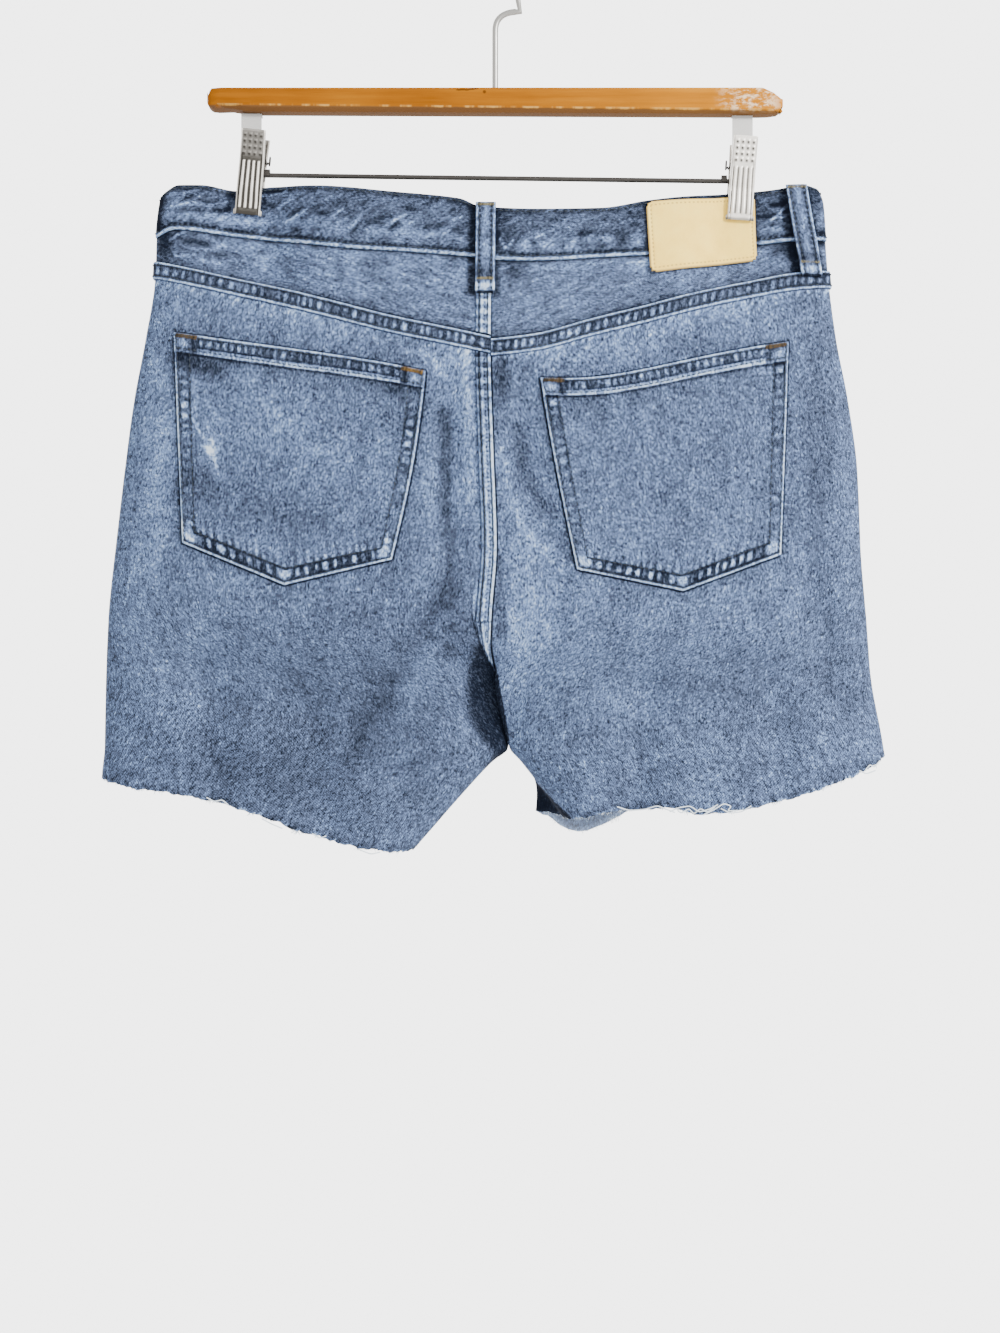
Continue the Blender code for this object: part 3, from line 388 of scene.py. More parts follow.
def rope(along, across, pitch, seed, tilt=0.0):
    """The light and dark blobs that a sewn double layer wears into, about one pitch apart."""
    phase = (along + tilt * across) / pitch + 0.8 * noise(along / 17.0, 0.0, seed)
    strength = 0.75 + 0.35 * noise(along / 21.0, 3.0, seed)
    blobs = 1.5 * np.cos(2 * math.pi * phase) + 0.5 * noise(along / 2.2, across / 2.2, seed)
    return np.clip(blobs, -1, 1) * strength


def chance(count, seed, salt=0.0):
    """Even spread of values from 0 to 1, the same every run."""
    value = np.sin(np.arange(count) * 12.9898 + seed * 78.233 + salt * 37.719) * 43758.5453
    return value - np.floor(value)


# ---- Creases, fades and painted shade ----

# Creases: both ends, half width, how far the cloth rises (or sinks), and how much paler its crest has worn.
CREASE_COLUMNS = "x0 drop0 x1 drop1 width rise wear"
CREASES = {
    "back": table(
        CREASE_COLUMNS,
        (-201.5, 7.5, -181, 3.7, 1.05, 0.25, 0.15), (-200.3, 14.3, -185.4, 11.8, 1.18, 0.35, 0.21),
        (-186, 11.8, -175.5, 13.7, 1.18, 0.3, 0.19), (-176.1, 13.7, -162.4, 9.3, 1.05, 0.3, 0.19),
        (-191.6, 9.3, -185.4, 7.5, 1.49, -0.2, -0.15), (-182.3, 10.6, -169.3, 11.8, 1.49, -0.2, -0.15),
        (-174.8, 15.8, -163.7, 15.8, 1.61, -0.3, -0.33), (-197.8, 16.8, -177.9, 16.8, 0.99, -0.1, -0.07),
        (-204, 2.5, -182.9, 1.3, 1.12, -0.1, -0.1), (-195.3, 4.4, -173.6, 1.9, 0.81, -0.1, -0.1),
        (-143.8, 4.7, -130.8, 4.4, 1.36, -0.3, -0.3), (-144.5, 7.2, -127.1, 4.4, 0.81, 0.2, 0.18),
        (-144.5, 11.2, -135.8, 13, 2.23, -0.2, -0.21), (-142, 19.5, -132.7, 14, 1.05, 0.4, 0.21),
        (-133.3, 14, -123.4, 8.7, 0.99, 0.35, 0.2), (-128.7, 24.2, -117.2, 17.4, 1.18, 0.4, 0.24),
        (-122.8, 11.8, -113.5, 7.5, 0.87, 0.2, 0.12), (-119, 14.3, -109.7, 9.6, 0.87, 0.25, 0.16),
        (-127.7, 20.5, -119, 15.5, 1.36, -0.3, -0.21), (-138.3, 17.4, -128.3, 12.7, 1.24, -0.2, -0.16),
        (-127.7, 27.3, -118.4, 29.5, 2.11, -0.2, -0.2), (-139.5, 26.1, -134.5, 27.9, 1.61, -0.2, -0.2),
        (-113.5, 29.2, -107.3, 29.2, 1.49, -0.1, -0.16), (-123.4, 10.6, -111, 4.4, 1.24, -0.2, -0.15),
        (-114.1, 16.8, -103.5, 12.4, 1.49, -0.2, -0.15), (-101.4, 21.7, -91.8, 16.8, 1.12, 0.4, 0.28),
        (-109.7, 18.6, -100.4, 20.2, 1.86, -0.3, -0.25), (-99.8, 19.2, -92.4, 21.7, 1.24, -0.2, -0.12),
        (-90.8, 30.4, -82.2, 22, 1.18, 0.45, 0.28), (-89.6, 33.5, -81.8, 24.8, 1.24, -0.4, -0.22),
        (-96.1, 24.8, -88.7, 23.6, 0.99, 0.2, 0.12), (-80.6, 24.2, -67.6, 26.7, 1.74, -0.3, -0.2),
        (-84.3, 17.4, -72.5, 12.4, 0.99, 0.2, 0.11), (-107.3, 12.4, -98, 8.1, 0.99, 0.2, 0.12),
        (-63.9, 25.4, -52.4, 19.5, 1.05, 0.45, 0.26), (-65.1, 30.4, -58.3, 26.1, 1.61, -0.4, -0.28),
        (-71.9, 22.3, -63.9, 20.5, 1.49, -0.2, -0.18), (-54.9, 27.9, -48, 23.3, 0.87, 0.35, 0.24),
        (-48, 23.3, -45.9, 18.6, 0.81, 0.3, 0.19), (-57.7, 16.8, -46.5, 18.3, 1.36, -0.2, -0.15),
        (-44, 28.5, -27.9, 26.1, 1.86, -0.3, -0.19), (-41.5, 24.8, -34.1, 22.3, 0.99, 0.2, 0.12),
        (-26, 24.8, -19.2, 21.4, 0.93, 0.3, 0.18), (-37.8, 14.9, -30.4, 11.8, 0.99, 0.2, 0.12),
        (-69.4, 12.4, -60.1, 9.9, 0.87, 0.15, 0.1), (-35, 10.6, -35, 40.3, 0.5, -0.2, -0.21),
        (-24.8, 28.5, -18, 32.3, 1.98, -0.3, -0.25), (2.2, 34.7, 6.8, 42.5, 0.62, 0.4, 0.43),
        (6.8, 42.5, 11.2, 36.3, 0.62, 0.4, 0.4), (22.9, 16.8, 22.9, 43.4, 0.62, -0.2, -0.18),
        (23.6, 35.4, 32.2, 32, 0.74, 0.3, 0.25), (32.2, 32, 44, 26.7, 0.81, 0.25, 0.15),
        (44, 27.9, 51.5, 34.1, 0.87, 0.25, 0.15), (50.2, 33.5, 60.1, 31.3, 1.74, -0.3, -0.3),
        (60.1, 31, 82.5, 32.9, 1.49, -0.2, -0.16), (26.7, 18.6, 40.3, 19.5, 0.99, 0.2, 0.1),
        (31, 23.6, 41.5, 24.8, 1.24, -0.2, -0.12), (57.7, 24.2, 65.1, 20.5, 0.81, 0.2, 0.12),
        (65.1, 22.3, 76.3, 24.8, 1.24, -0.2, -0.12), (80.6, 19.2, 90.5, 22.3, 1.86, -0.2, -0.19),
        (81.8, 27.9, 89.9, 26.1, 1.61, -0.2, -0.18), (76.3, 18, 86.2, 16.1, 0.87, 0.2, 0.1),
        (70.1, 27.9, 80, 24.8, 0.93, 0.2, 0.11), (8.1, 26.1, 18, 21.7, 0.87, 0.2, 0.12),
        (24.2, 28.5, 32.9, 26.7, 1.24, -0.2, -0.11), (163.1, 3.7, 170.5, 3.7, 1.86, -0.2, -0.3),
        (161.8, 6.8, 170.5, 12.4, 0.93, 0.3, 0.15), (169.3, 12.7, 179.8, 12.1, 1.43, -0.5, -0.55),
        (170.5, 22.6, 180.4, 13, 0.99, 0.5, 0.31), (162.4, 19.9, 174.8, 18.6, 1.36, -0.4, -0.33),
        (170.5, 21.7, 184.8, 19.2, 0.87, 0.3, 0.2), (169.3, 25.4, 176.7, 25.4, 1.24, -0.2, -0.2),
        (174.2, 5.6, 181.7, 8.1, 0.99, 0.2, 0.15), (164.3, 27.9, 182.9, 24.8, 1.12, 0.2, 0.1),
        (-194.1, 31.3, -200.9, 35.4, 0.93, 0.4, 0.33), (-194.1, 31.3, -189.1, 29.2, 0.81, 0.3, 0.22),
        (-192.2, 39.7, -174.2, 42.2, 1.36, 0.3, 0.12), (-174.2, 41.9, -166.2, 35, 0.99, 0.3, 0.18),
        (-165.5, 35.4, -158.1, 33.5, 0.87, 0.2, 0.12), (-179.2, 44.7, -163.1, 44, 2.11, -0.3, -0.18),
        (-197.8, 44.7, -184.1, 44.4, 0.87, 0.2, 0.15), (-182.9, 47.1, -168, 49.6, 0.99, 0.2, 0.1),
        (-191.6, 35.4, -175.5, 37.2, 2.48, -0.3, -0.2), (-155.6, 47.1, -144.5, 39.7, 0.99, 0.25, 0.1),
        (-142, 35.4, -129.6, 39.7, 1.24, -0.2, -0.09), (-150.7, 50.9, -138.3, 44, 0.99, 0.15, 0.07),
        (-63.2, 47.1, -59.5, 61.4, 0.74, 0.2, 0.09), (-76.3, 47.1, -62.6, 50.9, 1.49, -0.2, -0.08),
        (-65.1, 55.8, -34.1, 58.3, 1.61, -0.2, -0.07), (-46.5, 52.1, -36.6, 59.5, 0.74, 0.2, 0.07),
        (-30.4, 250.5, -88.7, 354.7, 8.06, -0.7, -0.1), (-27.9, 264.1, -60.8, 336.1, 5.58, 0.5, 0.06),
        (-176.7, 338.5, -165.5, 365.2, 3.1, -0.3, -0.09), (-148.2, 281.5, -154.4, 312.5, 0.99, 0.2, 0.07),
        (-144.5, 312.5, -158.1, 346.6, 1.36, -0.2, -0.07), (-102.3, 281.5, -93, 318.7, 1.12, 0.2, 0.06),
        (-120.9, 256.7, -107.3, 293.9, 1.24, 0.2, 0.05), (-175.5, 151.3, -170.5, 164.9, 0.56, 0.3, 0.13),
        (-171.1, 171.1, -168, 182.3, 0.5, 0.3, 0.12), (-185.4, 145.1, -179.2, 156.3, 0.62, 0.2, 0.12),
        (-181, 176.1, -179.2, 188.5, 0.5, 0.2, 0.08), (-179.8, 162.5, -174.2, 164.9, 0.62, 0.2, 0.2),
        (-171.7, 168.7, -168.6, 179.2, 0.62, 0.2, 0.2), (-179.2, 157.5, -170.5, 161.2, 0.74, 0.2, 0.18),
        (-163.1, 236.2, -155.6, 250.5, 0.74, 0.25, 0.12), (-169.3, 231.9, -164.3, 243.1, 0.74, 0.25, 0.1),
        (-179.8, 229.4, -173, 244.3, 0.87, 0.25, 0.12), (-151.9, 245.5, -144.5, 259.2, 0.87, 0.25, 0.1),
        (-120.9, 247.4, -117.2, 260.4, 0.87, 0.25, 0.1), (-108.5, 246.2, -102.9, 257.3, 0.87, 0.25, 0.09),
        (-89.9, 239.3, -82.5, 251.7, 0.87, 0.25, 0.09), (-190.7, 208.3, -189.7, 217, 0.99, 0.3, 0.25),
        (-189.7, 217, -183.2, 221.7, 0.99, 0.3, 0.25), (-65.1, 217, -66, 224.5, 0.99, 0.3, 0.25),
        (-66, 224.5, -72.5, 228.2, 0.99, 0.3, 0.25), (13, 148.2, 18, 181.1, 3.72, -0.7, -0.17),
        (18, 181.1, 32.9, 207.1, 4.34, -0.7, -0.15), (32.9, 207.1, 46.5, 231.9, 4.34, -0.5, -0.08),
        (3.1, 163.1, 9.9, 194.7, 2.48, 0.5, 0.12), (9.9, 194.7, 19.2, 217, 2.48, 0.5, 0.12),
        (19.2, 217, 37.8, 235.6, 2.79, 0.4, 0.11), (-30.4, 138.9, -29.8, 207.1, 3.72, -1, -0.22),
        (-29.8, 207.1, -27.9, 256.7, 4.96, -0.9, -0.12), (-27.9, 256.7, -30.4, 293.9, 4.96, -0.7, -0.09),
        (-18, 102.9, -16.1, 151.3, 3.1, 0.7, 0.14), (-16.1, 151.3, -15.5, 200.9, 3.1, 0.6, 0.12),
        (-39.1, 169.9, -37.8, 238.1, 4.34, 0.5, 0.06), (-190.3, 63.3, -184.1, 68.2, 1.24, 0.25, 0.1),
        (-174.8, 64.5, -170.5, 71.9, 1.24, 0.25, 0.12), (-164.3, 65.7, -156.9, 75, 1.36, 0.25, 0.12),
        (-144.5, 72.6, -140.1, 80.6, 1.36, 0.25, 0.1), (-127.1, 78.1, -122.1, 84.3, 1.24, 0.25, 0.1),
        (-111, 83.1, -104.8, 90.5, 1.36, 0.25, 0.1), (-93.6, 89.3, -88.7, 98, 1.36, 0.25, 0.1),
        (-75, 94.3, -68.8, 102.9, 1.49, 0.25, 0.12), (-58.9, 99.2, -51.5, 107.9, 1.49, 0.25, 0.12),
        (-45.3, 102.9, -34.1, 115.3, 1.61, 0.3, 0.17), (40.3, 105.4, 31.6, 115.3, 1.49, 0.25, 0.15),
        (58.9, 100.5, 51.5, 109.1, 1.36, 0.25, 0.1), (78.7, 95.5, 72.5, 102.9, 1.36, 0.25, 0.1),
        (97.3, 90.5, 92.4, 98, 1.36, 0.25, 0.1), (117.2, 84.3, 112.2, 91.8, 1.36, 0.25, 0.1),
        (137, 79.4, 132.1, 85.6, 1.36, 0.25, 0.1), (156.9, 74.4, 151.9, 80.6, 1.24, 0.25, 0.1),
        (175.5, 69.5, 171.7, 74.4, 1.24, 0.25, 0.08), (205.2, 269.1, 205.2, 312.5, 3.1, -0.4, -0.08),
        (49, 331.1, 46.5, 355.9, 3.1, -0.3, -0.05), (120.9, 256.7, 118.4, 293.9, 1.24, 0.2, 0.05),
        (151.9, 254.2, 156.9, 287.7, 1.24, 0.2, 0.05), (27.9, 256.7, 35.3, 287.7, 1.49, 0.2, 0.07),
        (89.9, 318.7, 97.3, 355.9, 1.49, 0.2, 0.05), (1.9, 231.9, 2.5, 281.5, 1.86, -0.3, -0.16),
        (5, 250.5, 6.8, 287.7, 1.49, -0.2, -0.12), (-10.5, 251.7, -4.3, 296.4, 1.24, 0.2, 0.08),
    ),
    "front": table(
        CREASE_COLUMNS,
        (-40, 150, -118, 128, 6, 0.6, 0.1), (-34, 170, -128, 158, 7, 0.6, 0.11),
        (-30, 192, -120, 192, 6, 0.5, 0.09), (-46, 160, -110, 146, 4, -0.4, -0.06),
        (-40, 181, -112, 176, 4, -0.4, -0.06), (44, 148, 112, 122, 6, 0.6, 0.1),
        (40, 168, 130, 152, 7, 0.6, 0.11), (36, 190, 122, 186, 6, 0.5, 0.09),
        (50, 158, 108, 140, 4, -0.4, -0.06), (44, 179, 116, 170, 4, -0.4, -0.06),
        (-70, 300, -96, 386, 9, -0.5, -0.05), (112, 300, 122, 372, 9, -0.5, -0.05),
        (-160, 240, -152, 340, 8, 0.4, 0.05), (176, 240, 170, 330, 8, 0.4, 0.05),
    ),
}
# Fades and painted shade: middle, half sizes across and down, turn in degrees, and how much paler or darker; the
# darker ones are partly unfaded cloth and partly painted shade beside the belt loops, under the waistband and at its
# ends.
FADE_AND_SHADE_COLUMNS = "x drop half_x half_drop turn tone"
FADES_AND_SHADE = {
    "back": table(
        FADE_AND_SHADE_COLUMNS,
        (-206.5, 10.6, 3.1, 8.06, 8, -0.5), (-207.7, 24.8, 1.86, 7.44, 0, -0.46),
        (-203.4, 37.2, 4.34, 8.06, 0, -0.42), (-197.8, 32.3, 5.58, 3.1, 0, -0.28),
        (-189.1, 37.8, 9.92, 4.34, 0, -0.1), (-169.3, 4.4, 4.34, 3.1, 0, 0.1),
        (-163.7, 8.7, 2.11, 7.44, 0, -0.34), (-143.2, 9.9, 1.86, 7.44, 0, -0.16),
        (-182.9, 20.5, 21.08, 2.79, 4, 0.13), (-155, 22.3, 18.6, 3.1, 8, 0.13),
        (-127.1, 24.8, 16.12, 3.72, 8, 0.1), (-105.4, 27.9, 6.2, 4.34, 0, 0.1),
        (-94.2, 28.5, 4.34, 3.72, 0, 0.1), (-71.3, 31, 9.92, 3.72, 0, 0.15),
        (-55.8, 31.6, 7.44, 3.72, 0, 0.17), (-42.2, 33.5, 8.68, 3.72, 0, 0.15),
        (-29.8, 32.3, 4.96, 4.34, 0, 0.13), (-108.5, 12.4, 37.2, 5.58, 6, -0.06),
        (-65.1, 14.3, 37.2, 4.96, 6, -0.05), (-22.9, 16.1, 5.58, 7.44, 0, -0.1),
        (7.4, 31, 5.58, 17.36, 0, -0.2), (18.6, 40, 4.03, 4.34, 0, 0.24), (32.9, 39.7, 6.2, 4.34, 0, 0.18),
        (47.7, 39.7, 5.89, 4.34, 0, 0.2), (58.9, 37.8, 2.79, 4.34, 0, 0.14), (70.1, 37.8, 4.03, 4.96, 0, 0.2),
        (86.8, 37.2, 4.34, 4.96, 0, 0.12), (25.1, 40.3, 2.48, 3.72, 0, -0.12),
        (41.5, 40.3, 2.17, 3.72, 0, -0.12), (53.3, 39.7, 2.79, 2.48, 0, -0.18),
        (64.5, 39.7, 4.03, 2.17, 0, -0.22), (78.1, 37.2, 4.96, 3.1, 0, -0.22),
        (91.8, 36.6, 2.48, 3.72, 0, -0.16), (49.6, 24.8, 43.4, 5.58, 0, -0.07),
        (166.2, 11.8, 6.2, 8.68, 0, -0.1), (178.6, 40.9, 8.68, 4.34, 0, -0.26),
        (186, 26.1, 3.72, 18.6, 0, -0.3), (201.5, 30.4, 2.48, 1.86, 0, -0.45),
        (201.5, 36.6, 2.48, 2.48, 0, -0.45), (199.6, 8.7, 3.1, 6.2, 0, -0.2),
        (173.6, 28.5, 7.44, 2.48, 0, 0.1), (-179.8, 37.2, 16.12, 5.58, 0, -0.08),
        (-24.8, 49.6, 7.44, 4.96, 0, -0.18), (10.5, 55.2, 8.06, 7.44, 0, -0.2),
        (-93, 318.7, 68.2, 55.8, 0, -0.04), (-206.5, 163.7, 11.16, 80.6, 0, 0.09),
        (198.4, 157.5, 12.4, 80.6, 0, -0.1), (-173.6, 165.6, 3.72, 3.47, 0, 0.34),
        (-173, 166.2, 2.11, 2.23, 0, 0.26), (-171.1, 177.3, 1.86, 8.06, -15, 0.1),
        (-178.6, 156.3, 1.86, 6.2, -30, 0.1), (-190.3, 143.9, 4.96, 21.08, 0, 0.1),
        (-191.6, 109.8, 9.3, 5.58, 10, -0.2), (-179.2, 114.7, 13.64, 4.96, 10, -0.12),
        (-189.1, 182.3, 4.34, 13.64, 0, -0.07), (-62, 127.7, 12.4, 4.34, 8, -0.06),
        (-93, 318.7, 124, 68.2, 0, -0.03), (127.1, 312.5, 111.6, 55.8, 0, -0.02),
        (-27.9, 163.7, 18.6, 55.8, 0, 0.03), (-174.2, 13, 9.92, 8.06, 0, -0.07),
        (-93, 318.7, 55.8, 43.4, 0, -0.02), (-175.5, 184.2, 12.4, 9.3, 0, -0.12),
        (-182.9, 135.8, 3.1, 21.7, 0, 0.08), (-133.3, 207.1, 43.4, 11.16, 10, -0.06),
        (-127.1, 157.5, 31, 21.7, 0, 0.06), (-52.7, 132.7, 12.4, 15.5, 0, -0.07),
        (-151.9, 111, 24.8, 6.2, 8, -0.06), (-173.6, 115.3, 11.16, 9.92, 0, -0.08),
        (-34.1, 154.4, 6.2, 24.8, 0, -0.03), (-94.9, 290.8, 8.68, 18.6, 20, 0.05),
        (-51.5, 293.9, 13.64, 15.5, 0, 0.05), (-145.7, 365.2, 74.4, 17.36, 15, -0.05),
        (14.3, 275.3, 11.16, 46.5, 0, 0.09), (34.1, 262.9, 31, 40.3, 0, 0.06),
        (67.6, 311.3, 12.4, 13.64, 0, 0.05), (-36.6, 109.1, 13.64, 7.44, 0, 0.05),
        (-18, 101.7, 6.2, 13.64, 0, 0.08), (3.1, 115.3, 4.96, 16.12, 0, -0.24),
        (6.2, 129.6, 8.68, 16.12, 0, -0.08), (35.3, 102.9, 27.28, 8.68, -12, 0.05),
        (114.7, 89.3, 55.8, 8.68, -12, 0.05), (-145.7, 78.1, 55.8, 8.68, 12, 0.05),
        (-195.3, 318.7, 18.6, 37.2, 0, 0.04), (-220.1, 281.5, 12.4, 37.2, 0, 0.03),
        (164.3, 318.7, 37.2, 31, 0, -0.03), (-15.5, 281.5, 9.92, 18.6, 15, -0.06),
    ),
    "front": table(
        FADE_AND_SHADE_COLUMNS,
        (-122, 250, 48, 86, 6, 0.09), (120, 250, 46, 84, -6, 0.09), (-206, 220, 20, 160, 2, -0.06),
        (204, 220, 20, 160, -2, -0.06), (0, 320, 26, 60, 0, -0.06), (-20, 110, 30, 40, 0, -0.04),
        (-120, 380, 70, 24, 0, -0.05), (130, 370, 70, 24, 0, -0.05), (-100, 36, 30, 14, 0, 0.06),
        (110, 34, 34, 14, 0, 0.06),
    ),
}


def crease_share(row, x, drop):
    """1 on a crease's line, falling to nothing beside it and towards its ends."""
    ax, ad = row["x1"] - row["x0"], row["drop1"] - row["drop0"]
    length = math.hypot(ax, ad)
    ax, ad = ax / length, ad / length
    px, pd = x - row["x0"], drop - row["drop0"]
    along, across = px * ax + pd * ad, pd * ax - px * ad
    wander = 0.35 * row["width"] * noise(along / 5.0, row["x0"] + row["drop0"], 3)
    end = 0.9 * row["width"]
    ends = ease((along + end) / (2.2 * end)) * ease((length + end - along) / (2.2 * end))
    return bell(across - wander, row["width"]) * ends


def relief(face, x, drop):
    """How far the fine creases lift the cloth here."""
    total = 0.35 * noise(x / 23.0, drop / 31.0, 5) + 0.12 * noise(x / 7.0, drop / 9.0, 6)
    for row in CREASES[face]:
        total = total + row["rise"] * crease_share(row, x, drop)
    return total


def loop_shadow(row, x, drop):
    """How much shadow is painted on the cloth under and beside a belt loop, together with the darker unfaded cloth
    there.
    """
    v = (drop - row["head"]) / (row["foot"] - row["head"])
    off = np.abs(x - row["x"] - row["lean"] * np.clip(v, 0, 1) + 1.2) - LOOP_WIDTH / 2
    along = ease((v + 0.03) / 0.08) * ease((1.03 - v) / 0.08)
    return along * (1 - ease((off - 0.8 - 1.0 * noise(drop / 9.0, row["x"], 2)) / 4.6))


def pocket_outline(side):
    """Places round a pocket's edge."""
    edge = [(u, 0.0) for u in np.linspace(0, 1, 13)] + [(1.0, v) for v in np.linspace(0.1, 1, 8)]
    edge += [(0.5, 1.0), (0.0, 1.0)] + [(0.0, v) for v in np.linspace(0.9, 0, 8)]
    u, v = np.array(edge).T
    return np.stack(pocket_place(side, u, v), -1)


def off_line(line, x, drop):
    """The distance from a line of places."""
    nearest = np.full(np.shape(x), 1e9)
    for (x0, d0), (x1, d1) in zip(line[:-1], line[1:]):
        ax, ad = x1 - x0, d1 - d0
        share = np.clip(((x - x0) * ax + (drop - d0) * ad) / (ax * ax + ad * ad + 1e-9), 0, 1)
        nearest = np.minimum(nearest, np.hypot(x - x0 - ax * share, drop - d0 - ad * share))
    return nearest


def signed_gap(line, x, drop):
    """The distance from a closed line, negative inside it."""
    inside = np.zeros(np.shape(x), bool)
    for (x0, d0), (x1, d1) in zip(line, np.roll(line, -1, 0)):
        if d0 != d1:
            inside ^= ((d0 > drop) != (d1 > drop)) & (x < (x1 - x0) * (drop - d0) / (d1 - d0) + x0)
    return np.where(inside, -1.0, 1.0) * off_line(np.concatenate([line, line[:1]]), x, drop)


def tone(face, x, drop):
    """How much paler or darker the cloth is here: worn fades and creases, and painted shade in some fades and beside
    the belt loops.
    """
    total = 0.03 * noise(x / 15.0, drop / 19.0, 8) + 0.03 * noise(x / 5.0, drop / 8.0, 9)
    for row in FADES_AND_SHADE[face]:
        turn = math.radians(row["turn"])
        px, pd = x - row["x"], drop - row["drop"]
        across = (px * math.cos(turn) + pd * math.sin(turn)) / row["half_x"]
        down = (pd * math.cos(turn) - px * math.sin(turn)) / row["half_drop"]
        total = total + row["tone"] * np.exp(-(across**2) - down**2)
    for row in CREASES[face]:
        total = total + row["wear"] * crease_share(row, x, drop)
    # Painted shadow beside and under each belt loop, with the unfaded cloth there.
    for row in LOOPS:
        if row["face"] == face:
            total = total - 0.36 * loop_shadow(row, x, drop)
    return total


# ---- Meshes ----


def deselect():
    if bpy.context.mode != "OBJECT":
        bpy.ops.object.mode_set(mode="OBJECT")
    bpy.ops.object.select_all(action="DESELECT")


def edit_all():
    """Opens the active piece for editing, with all of it selected."""
    bpy.ops.object.mode_set(mode="EDIT")
    bpy.ops.mesh.select_all(action="SELECT")


def grid_piece(name, points, marks, wall=0.0, closed=False):
    """A grid primitive moved onto a lattice of points, [across][down], then closed or given its wall inwards."""
    deselect()
    columns, rows = points.shape[:2]
    bpy.ops.mesh.primitive_grid_add(x_subdivisions=columns - 1, y_subdivisions=rows - 1, size=1.0)
    obj = bpy.context.object
    obj.name = obj.data.name = name
    mesh = obj.data
    flat = np.empty(len(mesh.vertices) * 3)
    mesh.vertices.foreach_get("co", flat)
    flat = flat.reshape(-1, 3)
    i = np.rint((flat[:, 0] + 0.5) * (columns - 1)).astype(int)
    j = np.rint((0.5 - flat[:, 1]) * (rows - 1)).astype(int)
    mesh.vertices.foreach_set("co", (points[i, j] * MM).ravel())
    for mark, values in marks.items():
        kind = "FLOAT_VECTOR" if values.ndim == 3 else "FLOAT"
        attribute = mesh.attributes.new(mark, kind, "POINT")
        attribute.data.foreach_set("vector" if values.ndim == 3 else "value", values[i, j].ravel())
    mesh.update()
    if wall:
        modifier = obj.modifiers.new("wall", "SOLIDIFY")
        modifier.thickness = wall * MM
        modifier.offset = -1.0
        modifier.material_offset = modifier.material_offset_rim = 1
        obj.data.materials.append(None)
        obj.data.materials.append(None)
        bpy.ops.object.modifier_apply(modifier="wall")
    if closed:
        edit_all()
        bpy.ops.mesh.remove_doubles(threshold=0.00001)
        bpy.ops.mesh.select_all(action="SELECT")
        bpy.ops.mesh.fill_holes(sides=0)
        bpy.ops.object.mode_set(mode="OBJECT")
    obj.data.shade_smooth()
    return obj


def face_out(points, normals):
    """True where the lattice's own order already faces out."""
    across = points[1:, :-1] - points[:-1, :-1]
    down = points[:-1, 1:] - points[:-1, :-1]
    facing = (np.cross(across, -down) * normals[:-1, :-1]).sum(-1)
    return np.nanmean(facing[:, : points.shape[1] // 3 + 1]) > 0


def lay(name, surface, marks, wall=0.0, closed=False):
    """A cloth piece from the points and normals of its outer face."""
    points, normals = surface
    if not face_out(points, normals):
        points = points[::-1]
        marks = {mark: values[::-1] for mark, values in marks.items()}
    return grid_piece(name, points, marks, wall, closed)


def run_along(points):
    """The distance run along a line, or along each line of a lattice, at each point."""
    steps = np.linalg.norm(np.diff(points, axis=0), axis=-1)
    return np.concatenate([np.zeros((1, *steps.shape[1:])), steps.cumsum(0)])


def read_at(where, run, values):
    """Values between the points of a line."""
    return np.stack([np.interp(where, run, column) for column in np.transpose(values)], -1)


def flat_marks(points, tones, shift=0.0, turn=0.0):
    """The weave's own coordinates, measured along the cloth, and the tone of the cloth."""
    across = run_along(points)
    across = across - across.mean(0) + points[..., 0].mean()
    down = run_along(points.swapaxes(0, 1)).T + (WAIST_LEVEL - points[:, :1, 2])
    turn = math.radians(turn)
    u = across * math.cos(turn) - down * math.sin(turn) + shift
    v = across * math.sin(turn) + down * math.cos(turn)
    return {"weave": np.stack([u, v, np.full(u.shape, shift)], -1), "tone": tones}


def shell(side, angle, drop, lift):
    """Points and normals of a face of the cloth, with the fine creases."""
    base = cloth(side, angle, drop)
    normal = outward(side, angle, drop)
    x, down = base[..., 0], WAIST_LEVEL - base[..., 2]
    rear = base[..., 1] < 0
    rise = np.where(rear, relief("back", x, down), relief("front", x, down))
    rise = rise * ease(np.abs(base[..., 1]) / 6.0)
    return base + normal * np.asarray(lift + rise)[..., None], normal


def surface_at(face, x, drop, lift):
    """A face of the cloth at given distances across, on whichever half holds them."""
    x, drop = np.broadcast_arrays(np.asarray(x, float), np.asarray(drop, float))
    seam = inner["left"](drop) if face == "back" else inner["front"](drop)
    found = [shell(side, angle_at(side, face, x, drop), drop, lift) for side in (-1, 1)]
    left = (x < seam)[..., None]
    return np.where(left, found[0][0], found[1][0]), np.where(left, found[0][1], found[1][1])


def cloth_tone(points):
    x, drop = points[..., 0], WAIST_LEVEL - points[..., 2]
    return np.where(points[..., 1] < 0, tone("back", x, drop), tone("front", x, drop))


def spread(first, last, cells):
    return np.linspace(first, last, cells + 1)


def edged(cells, width, edge=0.9):
    """Shares across a strip, with close lines at both edges so that they can round over."""
    share = edge / width
    return np.concatenate([[0.0, share * 0.35], np.linspace(share, 1 - share, cells), [1 - share * 0.35, 1.0]])


def rounded(distance, edge=0.9):
    """1 on top of a strip, falling to 0 round its edge."""
    t = np.clip(distance / edge, 0.0, 1.0)
    return np.sqrt(1 - (1 - t) ** 2)


def two_pitches(first, close_cells, near, cells, last):
    """Places with close steps as far as the near one and wider steps beyond it."""
    return np.concatenate([spread(first, near, close_cells)[:-1], spread(near, last, cells)])


def body_grid(side, angles, top, foot, shares, lift):
    """Drops and surface of a grid over the body between two edges."""
    drop = top[:, None] + (foot - top)[:, None] * shares
    return drop, shell(side, angles[:, None], drop, lift)


